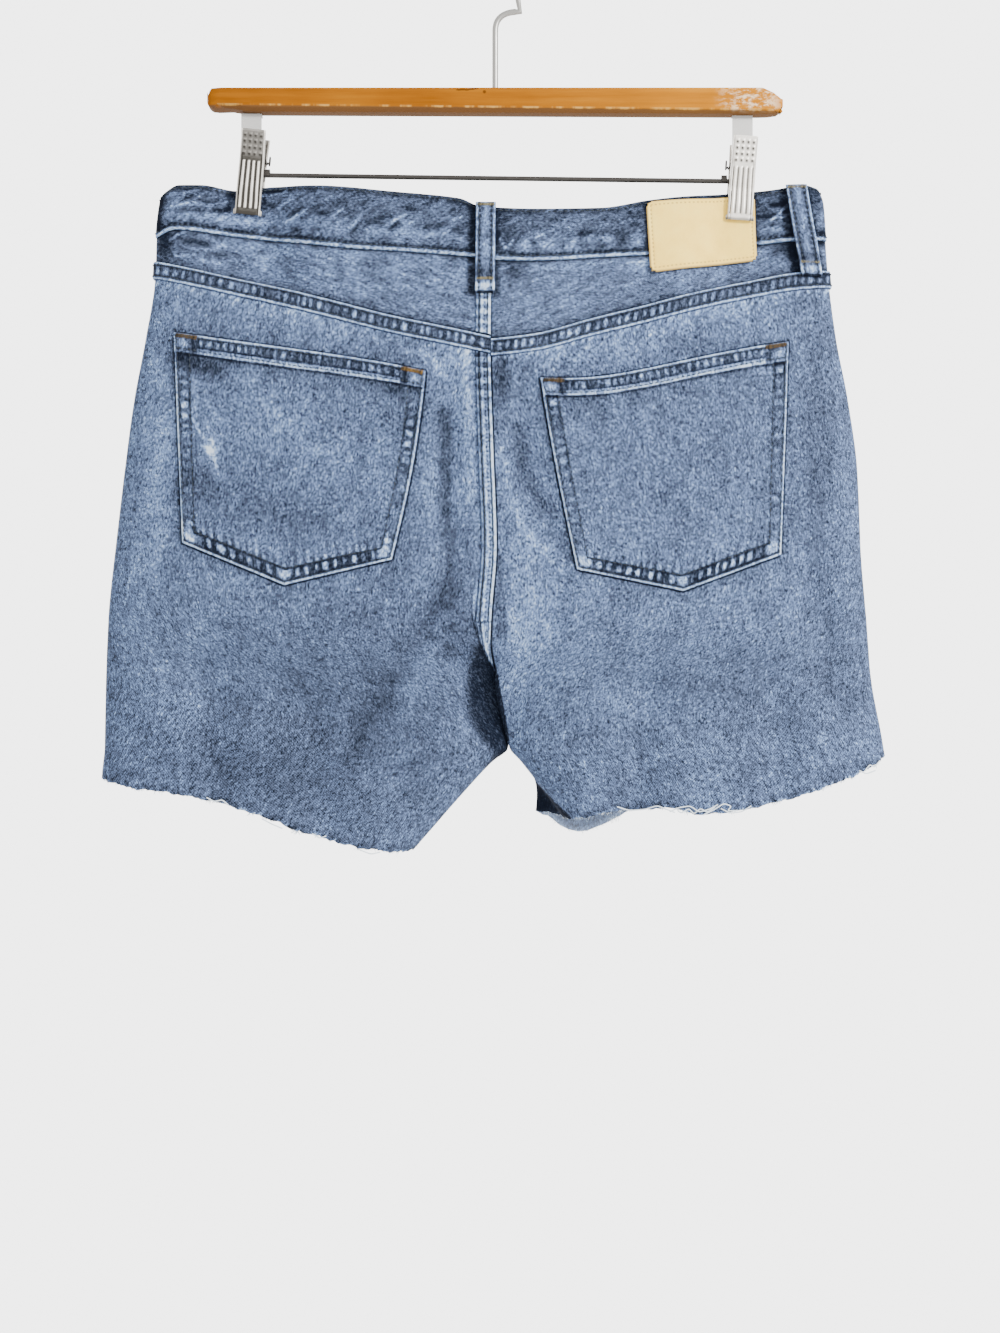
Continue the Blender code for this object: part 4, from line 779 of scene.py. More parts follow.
def keep(obj, paint, slot, *nodes, inside=None):
    """Gives a finished piece its paint, its body and the nodes that it stands for."""
    slots = obj.data.materials
    if len(slots) < 2:
        slots.clear()
        slots.append(paint)
    else:
        slots[0], slots[1] = paint, inside or paint
    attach(obj, "root")
    if nodes:
        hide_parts(*nodes)
    return obj


# ---- Paint ----


class Value:
    """A socket that follows Python's own arithmetic."""

    def __init__(self, paint, socket):
        self.paint, self.socket = paint, socket

    def maths(self, operation, *others):
        return self.paint.node("Math", {"operation": operation}, others)

    def __add__(self, other):
        return self.maths("ADD", self, other)

    __radd__ = __add__

    def __sub__(self, other):
        return self.maths("SUBTRACT", self, other)

    def __rsub__(self, other):
        return self.maths("SUBTRACT", other, self)

    def __mul__(self, other):
        return self.maths("MULTIPLY", self, other)

    __rmul__ = __mul__

    def __truediv__(self, other):
        return self.maths("DIVIDE", self, other)

    def __pow__(self, other):
        return self.maths("POWER", self, other)

    def sine(self):
        return self.maths("SINE", self)

    def absolute(self):
        return self.maths("ABSOLUTE", self)

    def above(self, low, high):
        """0 below low, 1 above high, smooth between."""
        settings = {"interpolation_type": "SMOOTHSTEP"}
        return self.paint.node("MapRange", settings, {"Value": self, "From Min": low, "From Max": high}, "Result")


class Paint:
    """A material being mixed."""

    def __init__(self, name, roughness, metallic=0.0, specular=0.5):
        self.material = bpy.data.materials.new(name)
        self.material.use_nodes = True
        self.tree = self.material.node_tree
        self.shader = self.tree.nodes["Principled BSDF"]
        self.put(self.shader, {"Roughness": roughness, "Metallic": metallic, "Specular IOR Level": specular})

    def put(self, node, values):
        pairs = values.items() if isinstance(values, dict) else enumerate(values)
        for key, value in pairs:
            if isinstance(value, Value):
                self.tree.links.new(value.socket, node.inputs[key])
            else:
                node.inputs[key].default_value = value

    def node(self, kind, settings=None, values=(), out=0):
        node = self.tree.nodes.new("ShaderNode" + kind)
        for key, value in (settings or {}).items():
            if key == "stops":
                for k, (place, colour) in enumerate(value):
                    stop = node.color_ramp.elements[k] if k < 2 else node.color_ramp.elements.new(place)
                    stop.position, stop.color = place, (*colour, 1.0)
            else:
                setattr(node, key, value)
        self.put(node, values)
        return Value(self, node.outputs[out])

    def parts(self, place, count=3):
        """The place's distances across, back and up."""
        split = self.tree.nodes.new("ShaderNodeSeparateXYZ")
        self.put(split, (place,))
        return [Value(self, split.outputs[k]) for k in range(count)]

    def place(self):
        return self.node("TexCoord", None, (), "Object")

    def mark(self, name, out="Fac"):
        return self.node("Attribute", {"attribute_name": name}, (), out)

    def speckle(self, place, scale, detail=2.0, roughness=0.55, stretch=None, distortion=0.0):
        if stretch:
            place = self.node("Mapping", None, {"Vector": place, "Scale": stretch})
        values = {"Vector": place, "Scale": scale, "Detail": detail, "Roughness": roughness, "Distortion": distortion}
        return self.node("TexNoise", None, values, "Fac")

    def ramp(self, factor, stops):
        return self.node("ValToRGB", {"stops": stops}, {"Fac": factor})

    def blend(self, factor, first, second):
        values = {"Factor": factor, 6: first, 7: second}
        return self.node("Mix", {"data_type": "RGBA"}, values, 2)

    def bump(self, height, distance, strength=1.0):
        return self.node("Bump", None, {"Strength": strength, "Distance": distance, "Height": height}, "Normal")

    def finish(self, colour, roughness=None, normal=None):
        self.put(self.shader, {"Base Color": colour})
        if roughness is not None:
            self.put(self.shader, {"Roughness": roughness})
        if normal is not None:
            self.put(self.shader, {"Normal": normal})
        return self.material


# What the cloth shows at each tone, as light leaving it, and the light that falls on it.
LIGHT_ON_CLOTH = 2.62
INDIGO = (
    (0.05, (0.0035, 0.0080, 0.024)), (0.12, (0.0085, 0.0175, 0.0440)), (0.20, (0.0255, 0.0405, 0.0790)),
    (0.275, (0.0535, 0.0690, 0.1130)), (0.353, (0.0850, 0.1095, 0.1745)), (0.431, (0.1245, 0.1590, 0.2620)),
    (0.51, (0.1680, 0.2250, 0.3860)), (0.588, (0.2280, 0.3270, 0.602)), (0.667, (0.320, 0.497, 0.950)),
    (0.745, (0.505, 0.800, 1.38)), (0.824, (0.86, 1.19, 1.66)), (0.92, (1.38, 1.57, 1.76)),
)
WEAVE_PITCH = 0.95
WORN_BACK, WORN_BACK_SHARE = (0.4342, 0.4678, 0.5149, 1.0), 0.22
PULL_STRENGTH = 0.42


def denim(name, base, contrast=1.0, drag=0.0, turn=35.0, panel=False, wrong=False):
    """Washed denim: diagonal twill, uneven warp yarns, mottling, pulled creases and each piece's own fades and
    painted shade, with a painted shadow line along edges on the back panels.
    """
    paint = Paint(name, 0.92, specular=0.12)
    weave = paint.mark("weave", "Vector")
    across, down = paint.parts(weave, 2)
    wobble = paint.speckle(weave, 0.35, 1.0)
    diagonal = (across + down + wobble * 1.6) * (2 * math.pi / (WEAVE_PITCH * math.sqrt(2)))
    twill = diagonal.sine()
    yarn = paint.speckle(weave, 1.0, 2.0, 0.6, (1.05, 0.42, 1.0), 0.6) - 0.5
    speck = paint.speckle(weave, 0.78, 2.0, 0.65, None, 1.3) - 0.5
    slub = paint.speckle(weave, 1.0, 2.0, 0.6, (0.30, 0.14, 1.0)) - 0.5
    cloud = paint.speckle(weave, 0.055, 3.0, 0.6) - 0.5
    streak = paint.speckle(weave, 1.0, 2.0, 0.5, (0.17, 0.014, 1.0)) - 0.5
    grain = (twill * 0.05 + yarn * 0.82 + speck * 0.82 + slub * 0.30) * contrast
    grain = grain + grain.maths("MINIMUM", grain, 0.0) * 0.5 + 0.02
    value = paint.mark("tone") + base + grain + cloud * 0.14 + streak * 0.12
    if panel:
        # Painted shadow: a dark line along the edges of the pockets, the yoke seam and the seat seam on the back
        # panels.
        value = value - (1.0 - paint.mark("gap").above(0.15, 1.25)) * 0.42
        drag = paint.mark("pull") * PULL_STRENGTH
    if drag:
        pulled = paint.node("Mapping", None, {"Vector": weave, "Rotation": (0, 0, math.radians(turn))})
        value = value + (paint.speckle(pulled, 1.0, 3.0, 0.55, (0.40, 0.06, 1.0), 0.5) - 0.5) * drag
    colour = paint.ramp(value, [(place, tuple(v / LIGHT_ON_CLOTH for v in shade)) for place, shade in INDIGO])
    if wrong:
        colour = paint.blend(WORN_BACK_SHARE, colour, WORN_BACK)
    height = twill * 0.5 + yarn * 1.6 + speck * 1.2
    return paint.finish(colour, normal=paint.bump(height, 0.00012, 0.8))


# ---- The scene ----


CAMERA_AWAY, VIEW_WIDTH, SENSOR_WIDTH = 1.3, 0.62, 36.0


def set_camera():
    data = bpy.data.cameras.new("camera")
    camera = bpy.data.objects.new("camera", data)
    bpy.context.scene.collection.objects.link(camera)
    camera.location = (0.0031, -CAMERA_AWAY, -0.4487)
    camera.rotation_euler = (math.radians(90), 0, 0)
    data.sensor_fit = "HORIZONTAL"
    data.sensor_width = SENSOR_WIDTH
    data.lens = SENSOR_WIDTH * CAMERA_AWAY / VIEW_WIDTH
    data.clip_end = 100.0
    bpy.context.scene.camera = camera


LAMPS = table(
    "name place size power",
    ("key", (1.5, -1.3, 0.5), 0.35, 75.0),
    ("front fill", (-1.3, 1.6, 0.5), 0.8, 48.0),
)
LAMP_AIM = (0.0, 0.0, -0.35)
LIGHT_ROUND, LIGHT_BEHIND = 1.72, 5.5
FLOOR_LEVEL = -1.25


def set_light():
    world = bpy.data.worlds.new("studio")
    world.use_nodes = True
    tree = world.node_tree
    around = tree.nodes["Background"]
    around.inputs["Color"].default_value = (1.0, 1.0, 1.0, 1.0)
    around.inputs["Strength"].default_value = LIGHT_ROUND
    behind = tree.nodes.new("ShaderNodeBackground")
    behind.inputs["Strength"].default_value = LIGHT_BEHIND
    seen = tree.nodes.new("ShaderNodeLightPath")
    both = tree.nodes.new("ShaderNodeMixShader")
    tree.links.new(seen.outputs["Is Camera Ray"], both.inputs["Fac"])
    tree.links.new(around.outputs["Background"], both.inputs[1])
    tree.links.new(behind.outputs["Background"], both.inputs[2])
    tree.links.new(both.outputs["Shader"], tree.nodes["World Output"].inputs["Surface"])
    bpy.context.scene.world = world
    for lamp in LAMPS:
        data = bpy.data.lights.new(lamp["name"], "AREA")
        data.size, data.energy = lamp["size"], lamp["power"]
        light = bpy.data.objects.new(lamp["name"], data)
        bpy.context.scene.collection.objects.link(light)
        light.location = lamp["place"]
        aim = np.subtract(LAMP_AIM, lamp["place"])
        yaw = math.atan2(-aim[0], aim[1])
        pitch = math.acos(-aim[2] / np.linalg.norm(aim))
        light.rotation_euler = (pitch, 0, yaw)


def set_floor():
    deselect()
    bpy.ops.mesh.primitive_plane_add(size=2.3, location=(0, 0, 0))
    floor = bpy.context.object
    floor.name = "floor"
    for corner in floor.data.vertices:
        corner.co.z = FLOOR_LEVEL
    paint = Paint("pale floor", 0.9)
    floor.data.materials.append(paint.finish((0.9, 0.9, 0.9, 1.0)))


# ---- Cloth pieces ----

DENIM = denim("washed denim", 0.50)
DENIM_PANEL = {
    -1: denim("left panel denim", 0.50, turn=35.0, panel=True),
    1: denim("right panel denim", 0.51, turn=-35.0, panel=True),
}
DENIM_BAND = denim("waistband denim", 0.44, 0.90, drag=0.50)
DENIM_YOKE = denim("yoke denim", 0.52, 0.80, drag=0.50, turn=24.0)
DENIM_SHADE = denim("denim seams", 0.50, 0.8)
DENIM_WRONG = denim("denim wrong side", 0.62, 0.8, wrong=True)


def seam_wear(distance, along, seed, near=1.0, reach=7.0):
    """The pale puckers that a seam draws beside it."""
    stroke = rope(along, distance, 6.2, seed, 0.8)
    line = bell(distance - 1.1, 1.2)
    return near * (0.14 * line * (0.7 + 0.5 * stroke) + 0.09 * stroke * fading(distance, reach) * (distance > -0.2))


def edge_shadow(distance, depth, width):
    """A dark line painted where one layer of cloth meets the edge of another: painted shadow, with some darker
    unfaded cloth in the seam.
    """
    return -depth * fading(distance, width)


def beat(along, pitch, mean, swing):
    """The thread and gaps of a line of stitches."""
    return mean + swing * np.cos(2 * math.pi * along / pitch)


def frayed(x):
    """How much the raw edge has frayed to white at each distance across."""
    return 0.45 + 0.9 * bell(x + 140.0, 46.0) + 0.8 * bell(x - 208.0, 42.0) + 0.5 * bell(x - 120.0, 30.0)


def hem_wave(angles, seed):
    return 0.7 * noise(angles / 1.3, 0.0, seed) + 0.4 * noise(angles / 0.4, 0.0, seed + 1)


def back_hem(side, angles):
    return drop_on_edge(side, angles, hem_back[side]) + hem_wave(angles, 11)


def front_hem(side, angles):
    return hem_front[side](angles) + hem_wave(angles, 13)


def hem_tone(above, x):
    """The pale and dark tufts of a raw edge."""
    tuft = noise(x / 1.7, 0.0, 31) + 0.5 * noise(x / 0.8, 0.0, 32)
    pale = bell(above, 1.3) * (0.04 + 0.30 * tuft * frayed(x))
    return pale - 0.10 * bell(above - 2.6, 1.3) * (1 + noise(x / 3.0, 0.0, 33))


def side_tone(points, drop, seed):
    """The ridge and puckers of the side seam."""
    run = run_along(points)
    off = run[-1] - run
    rim = 0.24 * bell(off - 1.2, 1.1) - 0.30 * bell(off, 0.5) - 0.16 * bell(off - 4.2, 0.8)
    return rim + 0.12 * rope(drop, off, 6.4, seed, 0.8) * fading(off, 7.0)


# How far the shade reaches inwards from the right panel's edge, at each drop.
SHADE_REACH = (
    (266.0, 0.0), (280.0, 8.0), (290.0, 14.0), (300.0, 20.0), (316.0, 23.5), (327.0, 25.0), (338.0, 22.0),
    (346.0, 17.0), (351.0, 11.0), (355.0, 5.0), (359.0, 1.0), (361.0, 0.0),
)


def crotch_tone(x, drop, angle):
    """The left panel in the right one's shadow, and the narrowing end of the seat seam."""
    rear = angle < 60
    inwards = inner["left"](drop) - inner["parting"](drop) * (drop < SEAT_FELL_END) - x
    reach = np.interp(drop, *zip(*SHADE_REACH))
    shadow = 0.80 * (1 - ease((inwards - reach + 7.5) / 8.0)) + 0.20 * (1 - ease(inwards / 9.0))
    shadow = shadow * ease((drop - 268.0) / 18.0) * (reach > 0) * rear
    share = np.clip((drop - SEAT_FELL_END) / 33.0, 0, 1)
    width = SEAT_FELL_WIDTH * (1 - share ** 1.25)
    on_strip = (drop > SEAT_FELL_END + 0.2) & (share < 1) & rear
    strip = on_strip * ease((width - inwards) / 0.8)
    across = SEAT_FELL_WIDTH * (1 - inwards / np.maximum(width, 0.6))
    beyond = inwards - width
    swell = 3.4 * bell(drop - 258.0, 14.0)
    fold = 0.24 * ease((swell - beyond) / 0.5) * ease((beyond - 1.1) / 0.4) * rear
    outline = -0.30 * bell(beyond - swell - 0.5, 0.55) * bell(drop - 276.0, 20.0) * rear
    on_seam = 0.06 + seat_tone(np.clip(across, 0.0, SEAT_FELL_WIDTH), drop, SEAT_SEED)
    return mix(fold + outline - 0.46 * shadow, on_seam, strip)


def corner_shadow(x, drop):
    """A dark triangle painted on the right back panel, standing in for the front panel seen in shadow past the
    turned-under corner of the right leg.
    """
    below = drop - 370.2 - (x - 26.0) * 0.967
    return -0.42 * ease((below + 0.6) / 1.6) * (1 - ease((x - 46.0) / 3.0))


PANELS_PART, FAR_OFF = 344.0, 9.0


def make_back_panel(side):
    angles = two_pitches(0.0, 20, 4.0, 160, SIDE_SEAM_ANGLE)
    top = drop_on_edge(side, angles, yoke_seam[side]) + SEAM_GAP / 2
    foot = back_hem(side, angles)
    drop, surface = body_grid(side, angles, top, foot, spread(0.0, 1.0, 150), PANEL_FACE)
    points = surface[0]
    x = points[..., 0]
    below = drop - top[:, None] - YOKE_FELL_WIDTH
    pocket_gap = signed_gap(pocket_outline(side), x, WAIST_LEVEL - points[..., 2])
    if side < 0:
        beside = inner["left"](drop) - inner["parting"](drop) - SEAT_FELL_WIDTH - x
        beside = np.where(drop < SEAT_FELL_END, beside, FAR_OFF) + 0.6
    else:
        beside = x - inner["left"](drop)
    pull = fading(below, 9.0) + 0.5 * fading(pocket_gap, 7.0) + 0.4 * fading(beside, 9.0) + 0.12
    # gap: the distance to the nearest pocket, yoke seam or seat seam edge, along which the panel's paint draws a
    # painted shadow line.
    gap = np.minimum(np.minimum(pocket_gap, below + 0.75), np.where(drop < PANELS_PART, beside, FAR_OFF))
    tones = cloth_tone(points) + seam_wear(below, x, 20 + side)
    # Painted shadow round the pocket, fading out over a few millimetres.
    tones += edge_shadow(pocket_gap, 0.07, 3.0) + hem_tone(foot[:, None] - drop, x) + side_tone(points, drop, 26 + side)
    # Painted shade: the crotch shadow on the left panel, and a painted shadow corner on the right.
    tones += crotch_tone(x, drop, angles[:, None]) if side < 0 else corner_shadow(x, drop)
    marks = flat_marks(points, tones) | {"gap": np.clip(gap, -4.0, FAR_OFF), "pull": pull}
    piece = lay(f"back_panel_{SIDE_NAME[side]}", surface, marks, CLOTH_WALL)
    keep(piece, DENIM_PANEL[side], "washed denim", f"back_{SIDE_NAME[side]}", inside=DENIM_WRONG)


def mouth_line(side, angles):
    """The drop of a scooped pocket mouth, and of the band's seam beside it."""
    band = on_both_faces(side, angles, band_seam)
    share = (POCKET_OPENING_START - angles) / (POCKET_OPENING_START - SIDE_SEAM_ANGLE)
    return band + POCKET_OPENING_DROP * np.sin(math.pi / 2 * np.clip(share, 0, 1)) ** POCKET_OPENING_POWER


def mouth_tone(points, below):
    """The turned and twice-stitched edge of a scooped pocket mouth."""
    step = np.gradient(points[:, 0], axis=0)
    length = np.linalg.norm(step, axis=-1)
    off = below * (np.hypot(step[:, 0], step[:, 1]) / length)[:, None]
    along = np.cumsum(length)[:, None]
    lines = bell(off - 2.7, 0.8) + 0.9 * bell(off - 8.8, 0.8)
    squares = ease((off - 3.4) / 0.6) * ease((8.2 - off) / 0.6)
    tones = 0.42 * bell(off - 0.8, 1.1) - 0.42 * beat(along, 3.1, 0.8, 0.4) * lines
    return tones + 0.20 * rope(along, off, 5.4, 39) * squares


FLY_TOP, FLY_FOOT, FLY_WIDTH, FLY_BEND = 60.0, 172.0, 34.0, 114.0
FLY_LINES = (0.0, 5.0)
FLY_FACING_LENGTH, FLY_FACING_BEND = 118.0, 35.0


def fly_line(inset, cells):
    """Places down the fly's stitched curve, or down a curve set in from it."""
    drop = spread(FLY_TOP, FLY_FOOT, cells)
    bend = np.sqrt(np.clip(1 - ((drop - FLY_TOP) / (FLY_BEND - inset)) ** 4, 0, 1))
    return np.stack([inner["front"](drop) - 3.0 - (FLY_WIDTH - inset) * bend, drop], 1)


def fly_tone(side, x, drop):
    """The stitched curve of the fly on one side, and the centre seam's two lines on the other."""
    off = np.abs(x - inner["front"](drop))
    if side > 0:
        lines = bell(off - 2.4, 0.7) + bell(off - 7.8, 0.7)
        return 0.20 * bell(off - 0.8, 0.8) - 0.36 * lines + 0.16 * rope(drop, off, 5.0, 38) * bell(off - 5.0, 2.0)
    outer, inside = (off_line(fly_line(inset, 40), x, drop) for inset in FLY_LINES)
    between = ease((5.6 - outer) / 0.6) * ease((5.6 - inside) / 0.6)
    tones = 0.12 * between - 0.42 * bell(outer, 1.0) - 0.38 * bell(inside, 0.9)
    tones = tones + 0.10 * rope(drop, outer, 6.0, 37) * fading(outer, 5.0)
    return tones + 0.30 * bell(off - 0.9, 1.0) - 0.3 * bell(off, 0.4)


def make_front_panel(side):
    angles = two_pitches(180.0, 44, 168.0, 70, SIDE_SEAM_ANGLE)
    top = mouth_line(side, angles) + SEAM_GAP / 2
    foot = front_hem(side, angles)
    drop, surface = body_grid(side, angles, top, foot, two_pitches(0.0, 12, 0.036, 94, 1.0), PANEL_FACE)
    points, normals = surface
    x, below = points[..., 0], drop - top[:, None]
    tones = cloth_tone(points) + seam_wear(below, x, 30 + side, 0.8, 4.0)
    tones += mouth_tone(points, below) * (angles < POCKET_OPENING_START)[:, None]
    tones += hem_tone(foot[:, None] - drop, x) + side_tone(points, drop, 36 + side) + fly_tone(side, x, drop)
    if side > 0:
        # Painted shadow on the right leg's inner corner, only on the cloth that faces the back.
        corner = ease((drop - 369.5 - (x - 26.0) * 0.9) / 1.5) * (1 - ease((x - 44.0) / 3.0))
        tones -= 0.48 * corner * ease((0.35 - normals[..., 1]) / 0.3)
    piece = lay(f"front_panel_{SIDE_NAME[side]}", surface, flat_marks(points, tones), CLOTH_WALL)
    keep(piece, DENIM, "washed denim", f"front_{SIDE_NAME[side]}", inside=DENIM_WRONG)


def make_yokes():
    for side in (-1, 1):
        angles = two_pitches(0.0, 12, 5.0, 140, SIDE_SEAM_ANGLE)
        top = drop_on_edge(side, angles, band_seam["back"]) + SEAM_GAP / 2
        foot = drop_on_edge(side, angles, yoke_seam[side]) - SEAM_GAP / 2
        drop, surface = body_grid(side, angles, top, foot, spread(0.0, 1.0, 40), PANEL_FACE)
        points, above, below = surface[0], foot[:, None] - drop, drop - top[:, None]
        # Painted shadow: dark lines just under the waistband and just above the yoke seam's strip.
        tones = cloth_tone(points) + edge_shadow(above, 0.24, 1.3) + edge_shadow(below, 0.34, 0.9) + edge_shadow(above, 0.07, 5.0)
        patchy = 0.5 + 0.6 * noise(points[..., 0] / 26.0, 0.0, 44)
        tones += 0.12 * bell(below - 4.0, 3.0) * np.clip(patchy, 0, 1)
        piece = lay(f"yoke_piece_{SIDE_NAME[side]}", surface, flat_marks(points, tones, turn=90.0), CLOTH_WALL)
        keep(piece, DENIM_YOKE, "washed denim", f"yoke_{SIDE_NAME[side]}", inside=DENIM_WRONG)


def make_facing(name, node, side, angles, top, foot, cells):
    """A layer of cloth that lies behind a front panel."""
    _, surface = body_grid(side, angles, top, foot, spread(0.0, 1.0, cells), -PANEL_FACE - CLOTH_WALL)
    piece = lay(name, surface, flat_marks(surface[0], cloth_tone(surface[0])), CLOTH_WALL)
    keep(piece, DENIM, "denim folds", node, inside=DENIM_WRONG)


def make_facings():
    for side in (-1, 1):
        angles = spread(POCKET_OPENING_START + 4.0, SIDE_SEAM_ANGLE, 60)
        top = on_both_faces(side, angles, band_seam) + SEAM_GAP / 2
        foot = mouth_line(side, angles) + FACING_REACH
        names = f"pocket_lining_{SIDE_NAME[side]}", f"pocket_facing_{SIDE_NAME[side]}"
        make_facing(*names, side, angles, top, foot, 50)
    angles = angle_at(-1, "front", spread(-38.0, -4.0, 24), FLY_TOP)
    top = on_both_faces(-1, angles, band_seam) + SEAM_GAP
    rise = FLY_FACING_BEND * (1 - np.sqrt(1 - spread(1, 0, 24) ** 2 * 0.95))
    make_facing("fly_lining", "fly_facing", -1, angles, top, top + FLY_FACING_LENGTH - rise, 60)


def make_waistband():
    stores = ([], [], [], [])
    for side in (-1, 1):
        angles = two_pitches(0.0, 230, SIDE_SEAM_ANGLE, 110, 180.0 if side < 0 else 179.8)[:, None]
        top = on_both_faces(side, angles, waist_edge)
        foot = on_both_faces(side, angles, band_seam) - SEAM_GAP / 2
        outer = edged(48, BAND_HEIGHT)[None, :]
        shares = np.concatenate([outer, spread(1.0, 0.0, 12)[None, :]], 1)
        height = foot - top
        over = rounded(np.minimum(outer, 1 - outer) * height)
        lift = np.concatenate([mix(-BAND_INSIDE, BAND_FACE, over), np.full((len(angles), 13), -BAND_INSIDE)], 1)
        surface = shell(side, angles, mix(top, foot, shares), lift)
        order = slice(None, None, -1) if side < 0 else slice(1, None)
        for store, values in zip(stores, (*surface, (1 - shares) * height, shares * height)):
            store.append(values[order])
    points, normal, above, below = (np.concatenate(store) for store in stores)
    x = points[..., 0]
    stitched = beat(x, 3.4, 0.8, 0.45) + 0.3 * noise(x / 9.0, 0.0, 51)
    tones = cloth_tone(points) * ease((above - 2.4) / 2.0)
    tones += 0.36 * bell(above - 1.0, 1.1) - 0.34 * stitched * bell(above - 3.6, 1.25)
    tones += 0.04 * rope(x, above, 8.6, 50, 0.3) * bell(above - 6.0, 3.4)
    tones -= 0.12 * bell(below - 1.0, 1.4) + 0.16 * bell(below - 3.2, 0.9)
    rear = points[:, :1, 1] < 0
    patch = np.array([PATCH[corner] for corner in ("top_inner", "top_outer", "foot_outer", "foot_inner")])
    # Painted shadow on the band round the leather patch.
    tones += rear * edge_shadow(signed_gap(patch, x, WAIST_LEVEL - points[..., 2]), 0.34, 1.3)
    piece = lay("waistband_strap", (points, normal), flat_marks(points, tones, turn=90.0), 0.0, closed=True)
    keep(piece, DENIM_BAND, "washed denim", "waistband")


SEAT_SEED = 70


def seat_tone(across, along, seed):
    """Tone across the seat seam: a soft fold, a stitch line, a worn middle with a dashed line, and a bright ridge."""
    dashes = 0.75 + 0.5 * np.cos(2 * math.pi * along / 2.7 + 1.5 * noise(along / 9.0, 0.0, seed))
    tones = 0.16 * bell(across - 0.7, 0.9) - 0.42 * bell(across - 2.0, 0.6) + 0.25 * ease((across - 2.4) / 0.6)
    tones = tones - 0.40 * dashes * bell(across - 5.2, 0.6) - 0.60 * bell(across - 6.9, 0.45)
    tones = tones + 0.13 * bell(across - 8.2, 0.75)
    darker = ease((along - 100.0) / 8.0) * (1 - ease((along - 112.0) / 60.0))
    on_yoke = 1 - ease((along - 100.0) / 6.0)
    tones = tones - 0.16 * darker + 0.04 * on_yoke - 0.16 * (darker + on_yoke) * rope(along, across, 6.4, seed)
    return tones + 0.05 * noise(along / 2.0, across / 1.4, seed)


def worn_spots(inset, along, seed, pitch, dark, light, tall=2.5, middle=5.6):
    """Tone inside a sewn-down edge: two dark stitch lines, and pale worn spots on the darker cloth between."""
    phase = along / pitch + 0.5 * noise(along / 16.0, 0.0, seed)
    index = np.floor(phase)
    off = (phase - index - 0.5) * pitch + 0.12 * (inset - middle)
    size = pitch * (0.26 + 0.10 * noise(index * 1.7, 0.0, seed + 1))
    spot = np.exp(-((off / size) ** 4) - ((inset - middle) / tall) ** 4)
    spot = spot * (0.8 + 0.45 * noise(index * 2.3, 0.0, seed + 2))
    spot = spot + 0.35 * noise(along / 1.5, inset / 1.5, seed + 3)
    strip = ease((inset - 1.5) / 0.6) * ease((9.7 - inset) / 0.7)
    lines = bell(inset - 2.2, 0.7) + 0.9 * bell(inset - 8.9, 0.7)
    return strip * mix(-dark, light, np.clip(spot, 0, 1)) - 0.16 * beat(along, 3.1, 0.85, 0.35) * lines


def fell_surface(side, angle, drop, rim):
    """A lapped seam's strip, which stands up from the panels inside its rim."""
    return shell(side, angle, drop, PANEL_FACE + (FELL_FACE - PANEL_FACE) * rounded(rim))


def lay_fell(name, node, surface, tones, shift):
    tones = cloth_tone(surface[0]) * 0.4 + tones
    piece = lay(name, surface, flat_marks(surface[0], tones, shift))
    keep(piece, DENIM_SHADE, "denim folds", node)


def make_fells():
    for side in (-1, 1):
        angles = two_pitches(0.0, 24, 5.0, 380, SIDE_SEAM_ANGLE)
        across = (edged(16, YOKE_FELL_WIDTH) * YOKE_FELL_WIDTH)[None, :]
        drop = drop_on_edge(side, angles, yoke_seam[side])[:, None] + across
        rim = np.minimum(across, YOKE_FELL_WIDTH - across)
        surface = fell_surface(side, angles[:, None], drop, rim)
        x = surface[0][..., 0]
        tones = worn_spots(across, x, 60 + side, 4.9, 0.26, 0.14 + 0.14 * bell(x, 110.0), 2.7, 5.5)
        # A pale worn rim, with painted shadow at the strip's very edge.
        tones += 0.34 * bell(rim - 0.7, 0.75) - 0.35 * bell(rim, 0.25)
        lay_fell(f"yoke_seam_{SIDE_NAME[side]}", f"yoke_fell_{SIDE_NAME[side]}", surface, tones, 40.0)
    shares = edged(13, SEAT_FELL_WIDTH)[:, None]
    across, offset = shares * SEAT_FELL_WIDTH, -SEAT_FELL_WIDTH * (1 - shares)
    band, yoke = band_seam["back"](offset - 1.0), yoke_seam[-1](offset - 1.0)
    stretches = (
        ("seat_seam", "seat_fell", yoke + YOKE_FELL_WIDTH + SEAM_GAP, SEAT_FELL_END, 330),
        ("yoke_centre_seam", "yoke_centre_fell", band + 3.0, yoke - 4 * SEAM_GAP, 90),
    )
    for name, node, head, foot, cells in stretches:
        drop = mix(head, foot, spread(0.0, 1.0, cells)[None, :])
        x = inner["left"](drop) - inner["parting"](drop) - 0.05 + offset
        surface = fell_surface(-1, angle_at(-1, "back", x, drop), drop, np.minimum(across, SEAT_FELL_WIDTH - across))
        lay_fell(name, node, surface, 0.03 + seat_tone(across, drop, SEAT_SEED), 70.0)


def pocket_place(side, u, v):
    """Distance across and drop of a place in a pocket, u from its outer side and v from its top."""
    corners = POCKET[side]
    lower = np.where(u <= 0.5, 2 * u, 2 * u - 1)

    def foot(k):
        outer = mix(corners["foot_outer"][k], corners["point"][k], lower)
        return np.where(u <= 0.5, outer, mix(corners["point"][k], corners["foot_inner"][k], lower))

    top_x = mix(corners["top_outer"][0], corners["top_inner"][0], u)
    top_drop = mix(corners["top_outer"][1], corners["top_inner"][1], u) + corners["dip"] * np.sin(math.pi * u * u)
    x = mix(top_x, foot(0), v) - side * corners["swell"] * np.sin(math.pi * v) * u
    return x, mix(top_drop, foot(1), v)


POCKET_WIDE, POCKET_HIGH, POCKET_HEM = 150.0, 130.0, 11.2
POCKET_HEM_SHARE, POCKET_HEM_LIFT = 0.085, 0.7
# A pocket's widths at its top and foot, and its heights in the middle and at its sides.
POCKET_WIDTHS, POCKET_HEIGHTS = (157.0, 129.0), (131.0, 118.0)


